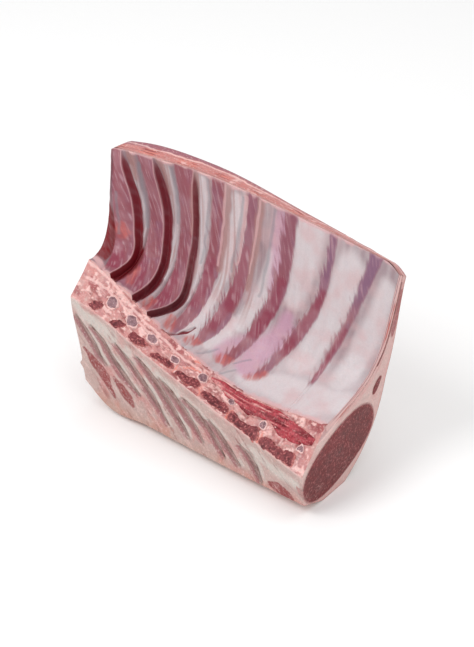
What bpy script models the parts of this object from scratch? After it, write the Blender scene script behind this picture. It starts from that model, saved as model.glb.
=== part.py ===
"""Raw rack of lamb, nine ribs on the sawn chine, lying on its back fat with the rib cage open.

The rack is lofted from the shoulder cut to the loin cut. A place on it is given by three numbers:
run, the share of the length from the shoulder cut (0) to the loin cut (1); across, in millimetres
from the sawn middle of the animal towards the flank; and height, in millimetres above the table.
"""
import math

import bmesh
import bpy
import numpy as np
from mathutils import Matrix, Vector, geometry

MM = 0.001
PIECE_GAP = 0.3

# The middle of the rack's box, which is put over the origin.
BOX_MIDDLE_ALONG = -87.99
BOX_MIDDLE_ACROSS = 38.69

# Where the corners and the pulls of the outline lie, as (across, height), at each of these runs.
STATION_RUNS = (0.0, 0.08, 0.3, 0.65, 1.0)
OUTLINE = {
    "toe": ((18, 6), (14, 0), (14, 0), (14, 0), (18, 0)),
    "median_foot": ((0, 16), (0, 6), (0, 5.5), (0, 6), (0, 8)),
    "chine_outer": ((0, 73), (0, 71), (0, 59), (0, 41.5), (-3, 30)),
    "chine_inner": ((17.5, 90), (17.5, 84.5), (17.5, 65.5), (17.5, 48.5), (17.5, 53.5)),
    "floor_pull": ((34, 88), (44, 84), (52, 63), (60, 50), (68, 64)),
    "wall_pull": ((40, 112), (58, 104), (63, 94), (64, 80), (63, 76)),
    "rim_inner": ((52, 147), (54, 145), (62, 142), (64, 138), (67.5, 134)),
    "rim_outer": ((64.5, 145), (68, 147.5), (75, 144), (75.5, 136), (76, 127.5)),
    "back_pull": ((68, 110), (76, 105), (78, 98), (78, 92), (74, 90)),
    "belly_pull": ((84, 34), (92, 22), (92, 20), (90, 24), (88, 28)),
    "heel": ((44, 6), (50, 0), (50, 0), (48, 0), (38, 0)),
}

# The two cuts lean outwards above these heights.
LENGTH = 172.0
SHOULDER_FOOT = (-165.3, 14.0)
SHOULDER_KNEE = (-172.0, 84.0)
SHOULDER_LEAN = 0.19
LOIN_KNEE_HEIGHT = 54.0
LOIN_LEAN = 0.1

# The layer of ribs and the muscle between them lies in a recess of the meat, as does the flank muscle.
RIB_LAYER = 5.0
RECESS = 5.6
# Its thickness at the shoulder and at the loin, the lining step it starts at and how far inside that.
FLANK_MUSCLE = (3.5, 1.6)
FLANK_MUSCLE_FOOT = 5
FLANK_MUSCLE_START = 0.022
FLANK_MUSCLE_GAP = 1.0
# From this share of the way up, the layers turn to end square on the rim.
RIM_TURN = 0.8
LINING_STEPS = 12
LINING_START = 0.006
BACK_STEPS = 11
STATIONS = 17
STATION_CROWDING = 1.3

# The muscle between two ribs, at its foot by the chine, half-way up and at the rim, as runs of its
# shoulder-side edge and its loin-side edge, and the width of the open groove before the next rib.
INTERCOSTALS = (
    ((0.060, 0.026, 0.004), (0.090, 0.066, 0.028), (0.036, 0.026, 0.056)),
    ((0.150, 0.116, 0.108), (0.184, 0.160, 0.136), (0.010, 0.013, 0.044)),
    ((0.216, 0.198, 0.214), (0.276, 0.262, 0.268), (0.010, 0.024, 0.040)),
    ((0.302, 0.320, 0.346), (0.328, 0.352, 0.400), (0.004, 0.006, 0.018)),
    ((0.386, 0.408, 0.460), (0.424, 0.456, 0.520), (0.002, 0.002, 0.002)),
    ((0.510, 0.552, 0.606), (0.542, 0.594, 0.668), (0.002, 0.002, 0.002)),
    ((0.664, 0.700, 0.770), (0.684, 0.734, 0.806), (0.002, 0.002, 0.002)),
    ((0.828, 0.830, 0.896), (0.842, 0.864, 0.945), (0.002, 0.002, 0.002)),
)
# How far the loin-side edge of each of those muscles stands up over the rib beside it.
INTERCOSTAL_RISE = (3.2, 3.0, 2.6, 1.4, 0.6, 0.2, -0.2, -0.4)
# Shares of that rise from its shoulder side to its loin side, and the drop of its two edges.
INTERCOSTAL_SHARES = (0.0, 0.3, 0.75, 1.0, 1.0)
INTERCOSTAL_DROPS = (0.6, 0.0, 0.0, 0.0, 0.9)
# Height of a rib over the lining from one side to the other.
RIB_CROWN = (-0.5, 0.55, 0.9, 0.55, -0.5)
# The gap between a muscle and the rib after it, as a run.
SIDE_GAP = 0.0018

# The eye of loin and the small muscle beside it: middle, half sizes and tilt at those same runs.
EYE = {
    "middle": ((35, 40), (36, 38), (37, 32), (37, 24), (32.5, 27)),
    "half": ((26, 17), (26, 17), (27, 16.5), (28, 16), (33, 17.5)),
    "tilt": ((38,), (36,), (24,), (12,), (17,)),
    "corners": 2.3,
    "sides": 20,
}
SIDE_MUSCLE = {
    "middle": ((63, 70), (64, 68), (66, 62), (67, 55), (65.5, 53)),
    "half": ((6.5, 3.0), (6.5, 3.0), (6.5, 3.0), (6.2, 2.8), (6.0, 2.6)),
    "tilt": ((72,), (72,), (70,), (66,), (58,)),
    "corners": 2.2,
    "sides": 10,
}

# Runs of the joints between the vertebrae, where the rib heads sit in the sawn chine.
CHINE_JOINTS = (0.060, 0.145, 0.228, 0.316, 0.414, 0.524, 0.652, 0.796, 0.952)
RIB_HEAD_RADIUS = 3.1
RIB_HEAD_SHARE = 0.60
RIB_HEAD_SIDES = 10
MARROW_SHARES = (0.06, 0.36)
MARROW_OF_JOINT = 0.86
MARROW_CORNER = 1.6
MARROW_DEPTH = 2.6
# How far the sawn bone stands out of the fat round it, and how far a pocket opens above it.
PROUD = 0.4
POCKET_OPENING = 3.0
# The strip of muscle left on the chine's inner edge: its runs, its share of the slope, the gap under
# it, and its height at the ends and what the middle adds, from its outer side to its inner side.
CHINE_MUSCLE_RUNS = (0.54, 0.985)
CHINE_MUSCLE_SHARES = (0.80, 0.985)
CHINE_MUSCLE_GAP = 0.7
CHINE_MUSCLE_STATIONS = 9
CHINE_MUSCLE_ENDS = (1.3, 1.6, 1.3)
CHINE_MUSCLE_SWELL = (1.0, 2.4, 1.2)

# The feather bones, sawn down their length: (along, height) of the upper end, and the lower end's height.
FEATHER_BONES = (
    (-169.0, 60.5, 38.0),
    (-155.4, 58.0, 26.0),
    (-139.3, 53.5, 15.5),
    (-122.0, 49.5, 15.0),
    (-105.4, 44.0, 15.0),
    (-88.0, 39.0, 13.0),
    (-69.0, 32.5, 12.5),
    (-50.0, 26.0, 11.0),
)
FEATHER_SLOPE = -0.98
FEATHER_WIDTH = 3.2
FEATHER_DEPTH = 2.4
FEATHER_CORNER = 1.2


def between(knots, values, run):
    """Smooth curve through values at uneven knots."""
    knots = np.asarray(knots, float)
    values = np.asarray(values, float)
    steps = np.diff(knots)[:, None]
    slopes = np.diff(values, axis=0) / steps
    middle = (slopes[:-1] * steps[1:] + slopes[1:] * steps[:-1]) / (steps[1:] + steps[:-1])
    pulls = np.concatenate([slopes[:1], middle, slopes[-1:]])
    k = int(np.clip(np.searchsorted(knots, run, side="right") - 1, 0, len(knots) - 2))
    step = knots[k + 1] - knots[k]
    f = (run - knots[k]) / step
    return (
        (2 * f**3 - 3 * f**2 + 1) * values[k]
        + (f**3 - 2 * f**2 + f) * step * pulls[k]
        + (3 * f**2 - 2 * f**3) * values[k + 1]
        + (f**3 - f**2) * step * pulls[k + 1]
    )


def corner(name, run):
    """A corner or pull of the outline at this run, never below the table."""
    across, height = between(STATION_RUNS, OUTLINE[name], run)
    return np.array((across, max(height, 0.0)))


def bezier(a, b, c, d, t):
    return (1 - t) ** 3 * a + 3 * (1 - t) ** 2 * t * b + 3 * (1 - t) * t**2 * c + t**3 * d


def unit(v):
    return v / np.linalg.norm(v)


def point(run, flat):
    """The place in the room, in metres, of a point (across, height) of the section at this run."""
    across, height = flat
    foot_along, foot_height = SHOULDER_FOOT
    knee_along, knee_height = SHOULDER_KNEE
    if height < knee_height:
        rise = (height - foot_height) / (knee_height - foot_height)
        shoulder = foot_along + (knee_along - foot_along) * rise
    else:
        shoulder = knee_along - SHOULDER_LEAN * (height - knee_height)
    loin = LOIN_LEAN * max(0.0, height - LOIN_KNEE_HEIGHT)
    along = shoulder * (1 - run) + loin * run
    return Vector((along - BOX_MIDDLE_ALONG, across - BOX_MIDDLE_ACROSS, height)) * MM


def lining(run, t, depth=0.0):
    """A point of the rib cage's inner surface, from the chine (t = 0) to the rim, sunk by depth."""
    ends = [corner(n, run) for n in ("chine_inner", "floor_pull", "wall_pull", "rim_inner")]
    here = bezier(*ends, t)
    ahead = bezier(*ends, min(t + 0.01, 1.0)) - bezier(*ends, max(t - 0.01, 0.0))
    inward = unit(np.array((ahead[1], -ahead[0])))
    rim = unit(corner("rim_outer", run) - corner("rim_inner", run))
    share = np.clip((t - RIM_TURN) / (1 - RIM_TURN), 0, 1)
    share = share**2 * (3 - 2 * share)
    return here + depth * unit(inward * (1 - share) + rim * share)


def lining_ts():
    return [k / LINING_STEPS for k in range(LINING_STEPS + 1)]


def flank_depth(run):
    return FLANK_MUSCLE[0] * (1 - run) + FLANK_MUSCLE[1] * run


def meat_section(run):
    """The outline of the body: sawn faces, recess for the ribs, rim, back and the flat it lies on."""
    deep = RECESS + flank_depth(run) + FLANK_MUSCLE_GAP
    section = [corner("toe", run), corner("median_foot", run)]
    section += [corner("chine_outer", run), corner("chine_inner", run)]
    ts = lining_ts()
    section += [lining(run, t, RECESS) for t in ts[: FLANK_MUSCLE_FOOT + 1]]
    section += [lining(run, t, deep) for t in ts[FLANK_MUSCLE_FOOT:]]
    pulls = [corner(n, run) for n in ("rim_outer", "back_pull", "belly_pull", "heel")]
    section += [bezier(*pulls, k / BACK_STEPS) for k in range(BACK_STEPS + 1)]
    return section


def oval_section(spec, run, grow=0.0):
    """A rounded oval with slightly blunt corners, at this run."""
    middle, half, tilt = (between(STATION_RUNS, spec[n], run) for n in ("middle", "half", "tilt"))
    tilt = math.radians(tilt[0])
    turn = np.array(((math.cos(tilt), -math.sin(tilt)), (math.sin(tilt), math.cos(tilt))))
    section = []
    for k in range(spec["sides"]):
        angle = -2 * math.pi * k / spec["sides"]
        blunt = [
            math.copysign(abs(f) ** (2 / spec["corners"]), f)
            for f in (math.cos(angle), math.sin(angle))
        ]
        section.append(middle + turn @ ((half + grow) * blunt))
    return section


def station_runs(first=0.0, last=1.0, count=STATIONS, crowding=STATION_CROWDING):
    return [first + (last - first) * (k / (count - 1)) ** crowding for k in range(count)]


def new_object(name, bm, material, collection):
    mesh = bpy.data.meshes.new(name)
    bm.to_mesh(mesh)
    bm.free()
    mesh.materials.append(material)
    obj = bpy.data.objects.new(name, mesh)
    collection.objects.link(obj)
    return obj


def loft(name, tubes, material, collection):
    """Closed solid through sections. The first tube is the outside and any others are tunnels."""
    bm = bmesh.new()
    rings = [[[bm.verts.new(p) for p in section] for section in tube] for tube in tubes]
    for tube in rings:
        for here, there in zip(tube, tube[1:]):
            for k in range(len(here)):
                after = (k + 1) % len(here)
                bm.faces.new((here[k], here[after], there[after], there[k]))
    for end in (0, -1):
        loops = [tube[end] for tube in rings]
        if len(loops) == 1:
            bm.faces.new(loops[0])
            continue
        verts = [v for loop in loops for v in loop]
        flat = [[Vector((0, v.co.y, v.co.z)) for v in loop] for loop in loops]
        for triangle in geometry.tessellate_polygon(flat):
            bm.faces.new([verts[k] for k in triangle])
    bmesh.ops.recalc_face_normals(bm, faces=bm.faces)
    return new_object(name, bm, material, collection)


def add_material(name, color, roughness):
    material = bpy.data.materials.new(name)
    material.use_nodes = True
    shader = material.node_tree.nodes["Principled BSDF"]
    shader.inputs["Base Color"].default_value = (*color, 1)
    shader.inputs["Roughness"].default_value = roughness
    shader.inputs["Metallic"].default_value = 0
    material.diffuse_color = (*color, 1)
    return material


def by_height(levels, t):
    """A value given at the chine, half-way up and at the rim, read at t."""
    foot, half, top = levels
    return foot * (1 - t) * (1 - 2 * t) + half * 4 * t * (1 - t) + top * t * (2 * t - 1)


def intercostal_edges(k, t):
    left, right, groove = INTERCOSTALS[k]
    start = by_height(left, t)
    end = by_height(right, t)
    return start, end, end + by_height(groove, t)


def slab(name, edges, heights, material, collection):
    """A bar or pad of the lining: edges(t) gives its two sides and heights its top, side to side."""
    ts = lining_ts()
    ts[0] = LINING_START
    sections = []
    for t in ts:
        start, end = edges(t)
        runs = [start + (end - start) * k / (len(heights) - 1) for k in range(len(heights))]
        top = [point(run, lining(run, t, -height)) for run, height in zip(runs, heights)]
        under = [point(run, lining(run, t, RIB_LAYER)) for run in (end, (start + end) / 2, start)]
        sections.append(top + under)
    return loft(name, [sections], material, collection)


def make_lining(bone, muscle, collection):
    """The nine ribs and the eight muscles between them."""
    count = len(INTERCOSTALS)
    for k in range(count + 1):

        def rib_edges(t, k=k):
            start = intercostal_edges(k - 1, t)[2] if k else 0.0
            end = intercostal_edges(k, t)[0] - SIDE_GAP if k < count else 1.0
            return start, end

        slab(f"rib_{k + 1}", rib_edges, RIB_CROWN, bone, collection)
    for k, rise in enumerate(INTERCOSTAL_RISE):

        def muscle_edges(t, k=k):
            return intercostal_edges(k, t)[:2]

        heights = [rise * s - drop for s, drop in zip(INTERCOSTAL_SHARES, INTERCOSTAL_DROPS)]
        slab(f"intercostal_{k + 1}", muscle_edges, heights, muscle, collection)


def make_flank_muscle(material, collection):
    """The sheet of muscle behind the ribs, whose edge shows along the rim and up the loin cut."""
    ts = lining_ts()[FLANK_MUSCLE_FOOT:]
    ts[0] += FLANK_MUSCLE_START
    sections = []
    for run in station_runs():
        near = RECESS + PIECE_GAP
        far = RECESS + flank_depth(run)
        face = [lining(run, t, near) for t in ts]
        back = [lining(run, t, far) for t in reversed(ts)]
        sections.append([point(run, flat) for flat in face + back])
    return loft("flank_muscle", [sections], material, collection)


def chine_point(run, share):
    return corner("chine_outer", run) * (1 - share) + corner("chine_inner", run) * share


def chine_frame(run, share):
    """Axes of the sawn chine at a place on it: along the rack, up the slope, and out of the cut."""
    before, after = run - 0.01, min(run + 0.01, 1.0)
    along = point(after, chine_point(after, share)) - point(before, chine_point(before, share))
    slope = point(run, corner("chine_inner", run)) - point(run, corner("chine_outer", run))
    along.normalize()
    out = along.cross(slope).normalized()
    frame = Matrix((along, out.cross(along), out)).transposed().to_4x4()
    frame.translation = point(run, chine_point(run, share))
    return frame


def sunk_piece(name, bm, depth, frame, material, collection, cutters):
    """A piece let into the fat to this depth, with the pocket for it, open outwards."""
    bmesh.ops.translate(bm, vec=(0, 0, (PROUD - depth / 2) * MM), verts=bm.verts)
    piece = new_object(name, bm, material, collection)
    piece.matrix_world = frame
    cutter = bpy.data.objects.new(name + "_pocket", piece.data.copy())
    cutters.objects.link(cutter)
    cutter.matrix_world = frame
    for vert in cutter.data.vertices:
        for axis in (0, 1):
            vert.co[axis] += math.copysign(PIECE_GAP * MM, vert.co[axis])
        vert.co.z += (POCKET_OPENING if vert.co.z > 0 else -PIECE_GAP) * MM
    cutter.display_type = "WIRE"
    cutter.hide_render = True


def block(size, corner_radius):
    """A block of this size in millimetres with its upright edges rounded."""
    bm = bmesh.new()
    bmesh.ops.create_cube(bm, size=1)
    bmesh.ops.scale(bm, vec=Vector(size) * MM, verts=bm.verts)
    upright = [e for e in bm.edges if abs(e.verts[0].co.z - e.verts[1].co.z) > size[2] * MM / 2]
    bmesh.ops.bevel(
        bm, geom=upright, offset=corner_radius * MM, segments=2, affect="EDGES", profile=0.5
    )
    return bm


def make_chine_bones(material, collection, cutters):
    """The sawn bodies of the vertebrae, with their red marrow."""
    low, high = MARROW_SHARES
    for k, (start, end) in enumerate(zip(CHINE_JOINTS, CHINE_JOINTS[1:])):
        middle = (start + end) / 2
        slope = corner("chine_inner", middle) - corner("chine_outer", middle)
        length = (end - start) * LENGTH * MARROW_OF_JOINT
        bm = block((length, np.linalg.norm(slope) * (high - low), MARROW_DEPTH), MARROW_CORNER)
        frame = chine_frame(middle, (low + high) / 2)
        sunk_piece(f"chine_bone_{k + 1}", bm, MARROW_DEPTH, frame, material, collection, cutters)


def make_rib_heads(material, collection, cutters):
    """The round ends of the ribs, which sit between the vertebrae."""
    for k, run in enumerate(CHINE_JOINTS[1:]):
        bm = bmesh.new()
        bmesh.ops.create_cone(
            bm,
            cap_ends=True,
            segments=RIB_HEAD_SIDES,
            radius1=RIB_HEAD_RADIUS * MM,
            radius2=RIB_HEAD_RADIUS * MM,
            depth=MARROW_DEPTH * MM,
        )
        frame = chine_frame(run, RIB_HEAD_SHARE)
        sunk_piece(f"rib_head_{k + 2}", bm, MARROW_DEPTH, frame, material, collection, cutters)


def make_chine_muscle(material, collection):
    """The strip of muscle along the chine's inner edge at the loin end."""
    first, last = CHINE_MUSCLE_RUNS
    low, high = CHINE_MUSCLE_SHARES
    sections = []
    for run in station_runs(first, last, CHINE_MUSCLE_STATIONS, 1.0):
        swell = math.sin(math.pi * (run - first) / (last - first)) ** 0.5
        out = chine_frame(run, high).col[2].to_3d() * MM
        places = [point(run, chine_point(run, s)) for s in (low, (low + high) / 2, high)]
        rises = [end + more * swell for end, more in zip(CHINE_MUSCLE_ENDS, CHINE_MUSCLE_SWELL)]
        top = [place + out * rise for place, rise in zip(places, rises)]
        under = [place + out * CHINE_MUSCLE_GAP for place in (places[2], places[0])]
        sections.append(top + under)
    loft("chine_muscle", [sections], material, collection)


def make_feather_bones(material, collection, cutters):
    """The sawn spines of the vertebrae in the middle face, slanting down towards the loin."""
    slant = Vector((1, 0, FEATHER_SLOPE)).normalized()
    out = Vector((0, -1, 0))
    for k, (along, top, foot) in enumerate(FEATHER_BONES):
        length = (top - foot) / -slant.z
        upper_end = Vector((along - BOX_MIDDLE_ALONG, -BOX_MIDDLE_ACROSS, top))
        frame = Matrix((slant, out.cross(slant), out)).transposed().to_4x4()
        frame.translation = (upper_end + slant * length / 2) * MM
        bm = block((length, FEATHER_WIDTH, FEATHER_DEPTH), FEATHER_CORNER)
        sunk_piece(f"feather_bone_{k + 1}", bm, FEATHER_DEPTH, frame, material, collection, cutters)


def main():
    for obj in list(bpy.data.objects):
        bpy.data.objects.remove(obj, do_unlink=True)
    scene = bpy.context.scene
    rack = bpy.data.collections.new("rack_of_lamb")
    cutters = bpy.data.collections.new("cutters")
    cutters.hide_render = True
    scene.collection.children.link(rack)
    scene.collection.children.link(cutters)

    fat = add_material("fat", (0.74, 0.56, 0.52), 0.45)
    muscle = add_material("lean", (0.30, 0.075, 0.07), 0.40)
    membrane = add_material("muscle_under_membrane", (0.42, 0.17, 0.19), 0.35)
    bone = add_material("rib_bone", (0.66, 0.60, 0.58), 0.40)
    marrow = add_material("marrow", (0.24, 0.05, 0.05), 0.45)
    cartilage = add_material("cartilage", (0.62, 0.50, 0.50), 0.40)

    runs = station_runs()
    tubes = [
        [[point(run, flat) for flat in meat_section(run)] for run in runs],
        [[point(run, flat) for flat in oval_section(EYE, run, PIECE_GAP)] for run in runs],
        [[point(run, flat) for flat in oval_section(SIDE_MUSCLE, run, PIECE_GAP)] for run in runs],
    ]
    body = loft("fat_cover", tubes, fat, rack)
    for name, spec in (("loin_eye", EYE), ("side_muscle", SIDE_MUSCLE)):
        loft(name, [[[point(run, p) for p in oval_section(spec, run)] for run in runs]], muscle, rack)
    make_lining(bone, membrane, rack)
    make_flank_muscle(membrane, rack)
    make_chine_bones(marrow, rack, cutters)
    make_rib_heads(cartilage, rack, cutters)
    make_chine_muscle(muscle, rack)
    make_feather_bones(bone, rack, cutters)

    pockets = body.modifiers.new("pockets", "BOOLEAN")
    pockets.operation = "DIFFERENCE"
    pockets.operand_type = "COLLECTION"
    pockets.collection = cutters
    pockets.solver = "EXACT"


main()
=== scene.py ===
"""Looks of the raw rack of lamb: moist fat, membrane over ribs and muscle, sawn bone and cut lean meat."""

import itertools
import math

import bpy
import numpy as np
from mathutils import Euler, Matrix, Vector


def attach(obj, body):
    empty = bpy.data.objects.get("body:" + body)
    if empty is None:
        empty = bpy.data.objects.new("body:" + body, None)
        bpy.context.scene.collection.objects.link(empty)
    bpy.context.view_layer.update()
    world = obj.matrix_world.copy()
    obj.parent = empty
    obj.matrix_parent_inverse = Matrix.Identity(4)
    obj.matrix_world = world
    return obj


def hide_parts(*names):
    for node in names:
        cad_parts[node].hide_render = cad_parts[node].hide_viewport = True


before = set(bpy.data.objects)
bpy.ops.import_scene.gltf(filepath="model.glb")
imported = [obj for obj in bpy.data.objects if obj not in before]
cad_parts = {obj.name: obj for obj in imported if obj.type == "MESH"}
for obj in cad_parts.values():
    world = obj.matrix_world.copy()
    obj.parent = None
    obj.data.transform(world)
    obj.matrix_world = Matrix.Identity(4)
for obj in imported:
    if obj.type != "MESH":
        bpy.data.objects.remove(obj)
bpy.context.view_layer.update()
scene = bpy.context.scene

# The rack's own measures, in millimetres. A place on it is a run, from the shoulder cut (0) to the loin
# cut (1), and a point (across, height) of the section there, from the sawn middle towards the flank.
MM = 0.001
BOX_MIDDLE_ALONG = -87.99
BOX_MIDDLE_ACROSS = 38.69
STATION_RUNS = np.array((0.0, 0.08, 0.3, 0.65, 1.0))
OUTLINE = {
    "toe": ((18, 6), (14, 0), (14, 0), (14, 0), (18, 0)),
    "median_foot": ((0, 16), (0, 6), (0, 5.5), (0, 6), (0, 8)),
    "chine_outer": ((0, 73), (0, 71), (0, 59), (0, 41.5), (-3, 30)),
    "chine_inner": ((17.5, 90), (17.5, 84.5), (17.5, 65.5), (17.5, 48.5), (17.5, 53.5)),
    "floor_pull": ((34, 88), (44, 84), (52, 63), (60, 50), (68, 64)),
    "wall_pull": ((40, 112), (58, 104), (63, 94), (64, 80), (63, 76)),
    "rim_inner": ((52, 146.4), (54.5, 146.4), (62.5, 145.5), (64.5, 141.5), (67.5, 133.7)),
    "rim_outer": ((64.5, 145.4), (68, 147), (75, 145.2), (75.5, 137.5), (76, 127.5)),
    "back_pull": ((68, 110), (76, 105), (78, 98), (78, 92), (74, 90)),
    "belly_pull": ((84, 34), (92, 22), (92, 20), (90, 24), (88, 28)),
    "heel": ((44, 6), (50, 0), (50, 0), (48, 0), (38, 0)),
}
LENGTH = 172.0
SHOULDER_FOOT = (-165.3, 14.0)
SHOULDER_KNEE = (-172.0, 84.0)
SHOULDER_LEAN = 0.19
LOIN_KNEE_HEIGHT = 54.0
LOIN_LEAN = 0.1
BULGE = 2.6
TIP = 2.4
RIB_LAYER = 5.0
RECESS = 5.6
FLANK_MUSCLE = (3.5, 1.6)
RIM_TURN = 0.8

# Edges of the muscle between two ribs, as runs at the chine, at each quarter of the way up and at the rim:
# its shoulder side, its loin side, and the far side of the groove that runs beside it.
INTERCOSTALS = (
    ((0.052, 0.033, 0.017, 0.003, 0.002), (0.090, 0.099, 0.076, 0.061, 0.030), (0.108, 0.111, 0.092, 0.076, 0.056)),
    ((0.110, 0.109, 0.105, 0.101, 0.084), (0.185, 0.186, 0.167, 0.155, 0.138), (0.199, 0.206, 0.189, 0.182, 0.168)),
    ((0.222, 0.222, 0.212, 0.209, 0.210), (0.250, 0.284, 0.266, 0.272, 0.276), (0.262, 0.304, 0.294, 0.288, 0.292)),
    ((0.316, 0.316, 0.316, 0.326, 0.340), (0.346, 0.360, 0.366, 0.374, 0.388), (0.348, 0.362, 0.368, 0.376, 0.390)),
    ((0.402, 0.400, 0.418, 0.446, 0.478), (0.412, 0.451, 0.472, 0.487, 0.512), (0.414, 0.453, 0.474, 0.489, 0.514)),
    ((0.506, 0.524, 0.552, 0.587, 0.608), (0.532, 0.564, 0.604, 0.634, 0.655), (0.534, 0.566, 0.606, 0.636, 0.657)),
    ((0.620, 0.652, 0.688, 0.744, 0.771), (0.646, 0.686, 0.734, 0.773, 0.791), (0.648, 0.688, 0.736, 0.775, 0.793)),
    ((0.838, 0.832, 0.838, 0.870, 0.906), (0.844, 0.847, 0.865, 0.897, 0.945), (0.846, 0.849, 0.867, 0.899, 0.947)),
)
INTERCOSTAL_RISE = (3.2, 3.0, 2.4)
GROOVE_DEPTH = (1.0, 1.2, 1.2)
# How far the painted shade in each groove reaches beside the first three muscles, in mm, at the chine, at each quarter
# of the way up and at the rim.
SHADED_GROOVE_WIDTH = ((3.6, 4.2, 3.2, 2.4, 0.6), (2.6, 4.4, 4.2, 4.0, 1.2), (2.4, 4.0, 3.4, 2.0, 0.6))
LINING_HEIGHT = 115.0


# ---------------------------------------------------------------- numbers

def smooth(x):
    """0 below 0, 1 above 1, and a soft step between."""
    x = np.clip(x, 0, 1)
    return x * x * (3 - 2 * x)


def lumps(points, size, seed):
    """Smooth uneven values from -1 to 1 at points, in lumps of this size."""
    scaled = points / size
    cell = np.floor(scaled).astype(np.int64)
    part = smooth(scaled - cell)
    total = np.zeros(points.shape[:-1])
    for step in itertools.product((0, 1), repeat=points.shape[-1]):
        key = cell + np.array(step)
        mixed = seed * 7919 + key @ np.array((73856093, 19349663, 83492791))[: len(step)]
        mixed = ((mixed ^ (mixed >> 13)) * 1274126177) & 0xFFFFFFFF
        value = ((mixed ^ (mixed >> 15)) & 0xFFFF) / 32767.5 - 1
        weight = np.prod(np.where(step, part, 1 - part), axis=-1)
        total += value * weight
    return total


def rough(points, size, seed, octaves=3):
    """Lumps with finer lumps on them."""
    return sum(lumps(points, size / 2**k, seed + k) / 2**k for k in range(octaves)) / 1.6


def at_mm(run, other, scale=1.0):
    """A place on a surface, in millimetres along the rack and across it, to read lumps at."""
    return np.stack((run * LENGTH, other * scale), -1)


def trail(spot, path, soft):
    """1 along a path of (x, y, half-width) corners, fading to 0 over soft past its sides."""
    gap = np.full(spot.shape[:-1], 1e9)
    for (ax, ay, aw), (bx, by, bw) in zip(path, path[1:]):
        x, y = spot[..., 0] - ax, spot[..., 1] - ay
        far_x, far_y = bx - ax, by - ay
        f = np.clip((x * far_x + y * far_y) / (far_x**2 + far_y**2), 0, 1)
        gap = np.minimum(gap, np.hypot(x - f * far_x, y - f * far_y) - aw - f * (bw - aw))
    return smooth(1 - gap / soft)


def stirred(spot, size, amount, seed):
    """Points moved about unevenly, so that what is drawn at them loses its ruled edges."""
    return spot + amount * np.stack([lumps(spot, size, seed + k) for k in range(spot.shape[-1])], -1)


def veins(spot, size, seed, width=0.12):
    """Thin wandering lines, 1 at their middle."""
    return 1 - smooth(np.abs(rough(spot, size, seed, 2)) / width)


# ---------------------------------------------------------------- the rack's shape

def between(values, run):
    """Smooth curve through values at the stations."""
    values = np.asarray(values, float)
    steps = np.diff(STATION_RUNS)[:, None]
    slopes = np.diff(values, axis=0) / steps
    middle = (slopes[:-1] * steps[1:] + slopes[1:] * steps[:-1]) / (steps[1:] + steps[:-1])
    pulls = np.concatenate([slopes[:1], middle, slopes[-1:]])
    run = np.asarray(run, float)
    k = np.clip(np.searchsorted(STATION_RUNS, run, side="right") - 1, 0, len(STATION_RUNS) - 2)
    step = (STATION_RUNS[k + 1] - STATION_RUNS[k])[..., None]
    f = (run[..., None] - STATION_RUNS[k][..., None]) / step
    return (
        (2 * f**3 - 3 * f**2 + 1) * values[k]
        + (f**3 - 2 * f**2 + f) * step * pulls[k]
        + (3 * f**2 - 2 * f**3) * values[k + 1]
        + (f**3 - f**2) * step * pulls[k + 1]
    )


def corner(name, run):
    flat = between(OUTLINE[name], run)
    flat[..., 1] = np.maximum(flat[..., 1], 0)
    return flat


def unit(v):
    return v / np.linalg.norm(v, axis=-1, keepdims=True)


def turned(v):
    """A flat direction turned a quarter to its right."""
    return np.stack((v[..., 1], -v[..., 0]), -1)


def curve(names, run, t):
    """The curve with these corners and pulls, and its direction."""
    a, b, c, d = (corner(n, run) for n in names)
    t = np.asarray(t, float)[..., None]
    here = (1 - t) ** 3 * a + 3 * (1 - t) ** 2 * t * b + 3 * (1 - t) * t**2 * c + t**3 * d
    ahead = (1 - t) ** 2 * (b - a) + 2 * (1 - t) * t * (c - b) + t**2 * (d - c)
    return here, unit(ahead)


def line(start, end, f):
    """The straight stretch between two corners."""
    f = np.asarray(f, float)[..., None]
    return start * (1 - f) + end * f, unit(end - start) + 0 * f


def place(run, flat):
    """The place in the room, in metres, of a point (across, height) of the section at this run."""
    across, height = flat[..., 0], flat[..., 1]
    foot_along, foot_height = SHOULDER_FOOT
    knee_along, knee_height = SHOULDER_KNEE
    low = foot_along + (knee_along - foot_along) * (height - foot_height) / (knee_height - foot_height)
    high = knee_along - SHOULDER_LEAN * (height - knee_height)
    shoulder = np.where(height < knee_height, low, high) - BULGE * np.exp(-(((height - 66) / 20) ** 2))
    shoulder = shoulder - TIP * np.exp(-(((height - 27) / 2.2) ** 2) - (across / 5) ** 2)
    loin = LOIN_LEAN * np.maximum(0, height - LOIN_KNEE_HEIGHT)
    along = shoulder * (1 - run) + loin * run
    near_end = np.maximum(0, (run - 0.955) / 0.045) ** 2 * 5 + np.maximum(0, (0.02 - run) / 0.02) ** 2 * 1.2
    height = height - near_end * smooth((height - 95) / 45)
    return np.stack((along - BOX_MIDDLE_ALONG, across - BOX_MIDDLE_ACROSS, height), -1) * MM


def lining(run, t, rise):
    """A point of the rib cage's inner surface, from the chine (t = 0) to the rim, raised by rise."""
    here, ahead = curve(("chine_inner", "floor_pull", "wall_pull", "rim_inner"), run, t)
    rim = unit(corner("rim_outer", run) - corner("rim_inner", run))
    share = smooth((t - RIM_TURN) / (1 - RIM_TURN))[..., None]
    out = -unit(turned(ahead) * (1 - share) + rim * share)
    return here + out * np.asarray(rise)[..., None]


def by_height(levels, t):
    """A smooth value through levels spaced evenly from the chine (t = 0) to the rim."""
    levels = np.asarray(levels, float)
    padded = np.concatenate(([2 * levels[0] - levels[1]], levels, [2 * levels[-1] - levels[-2]]))
    spot = np.clip(t, 0, 1) * (len(levels) - 1)
    k = np.minimum(spot.astype(int), len(levels) - 2)
    f = spot - k
    a, b, c, d = (padded[k + step] for step in range(4))
    return b + 0.5 * f * (c - a + f * (2 * a - 5 * b + 4 * c - d + f * (3 * (b - c) + d - a)))


# ---------------------------------------------------------------- meshes

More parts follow.
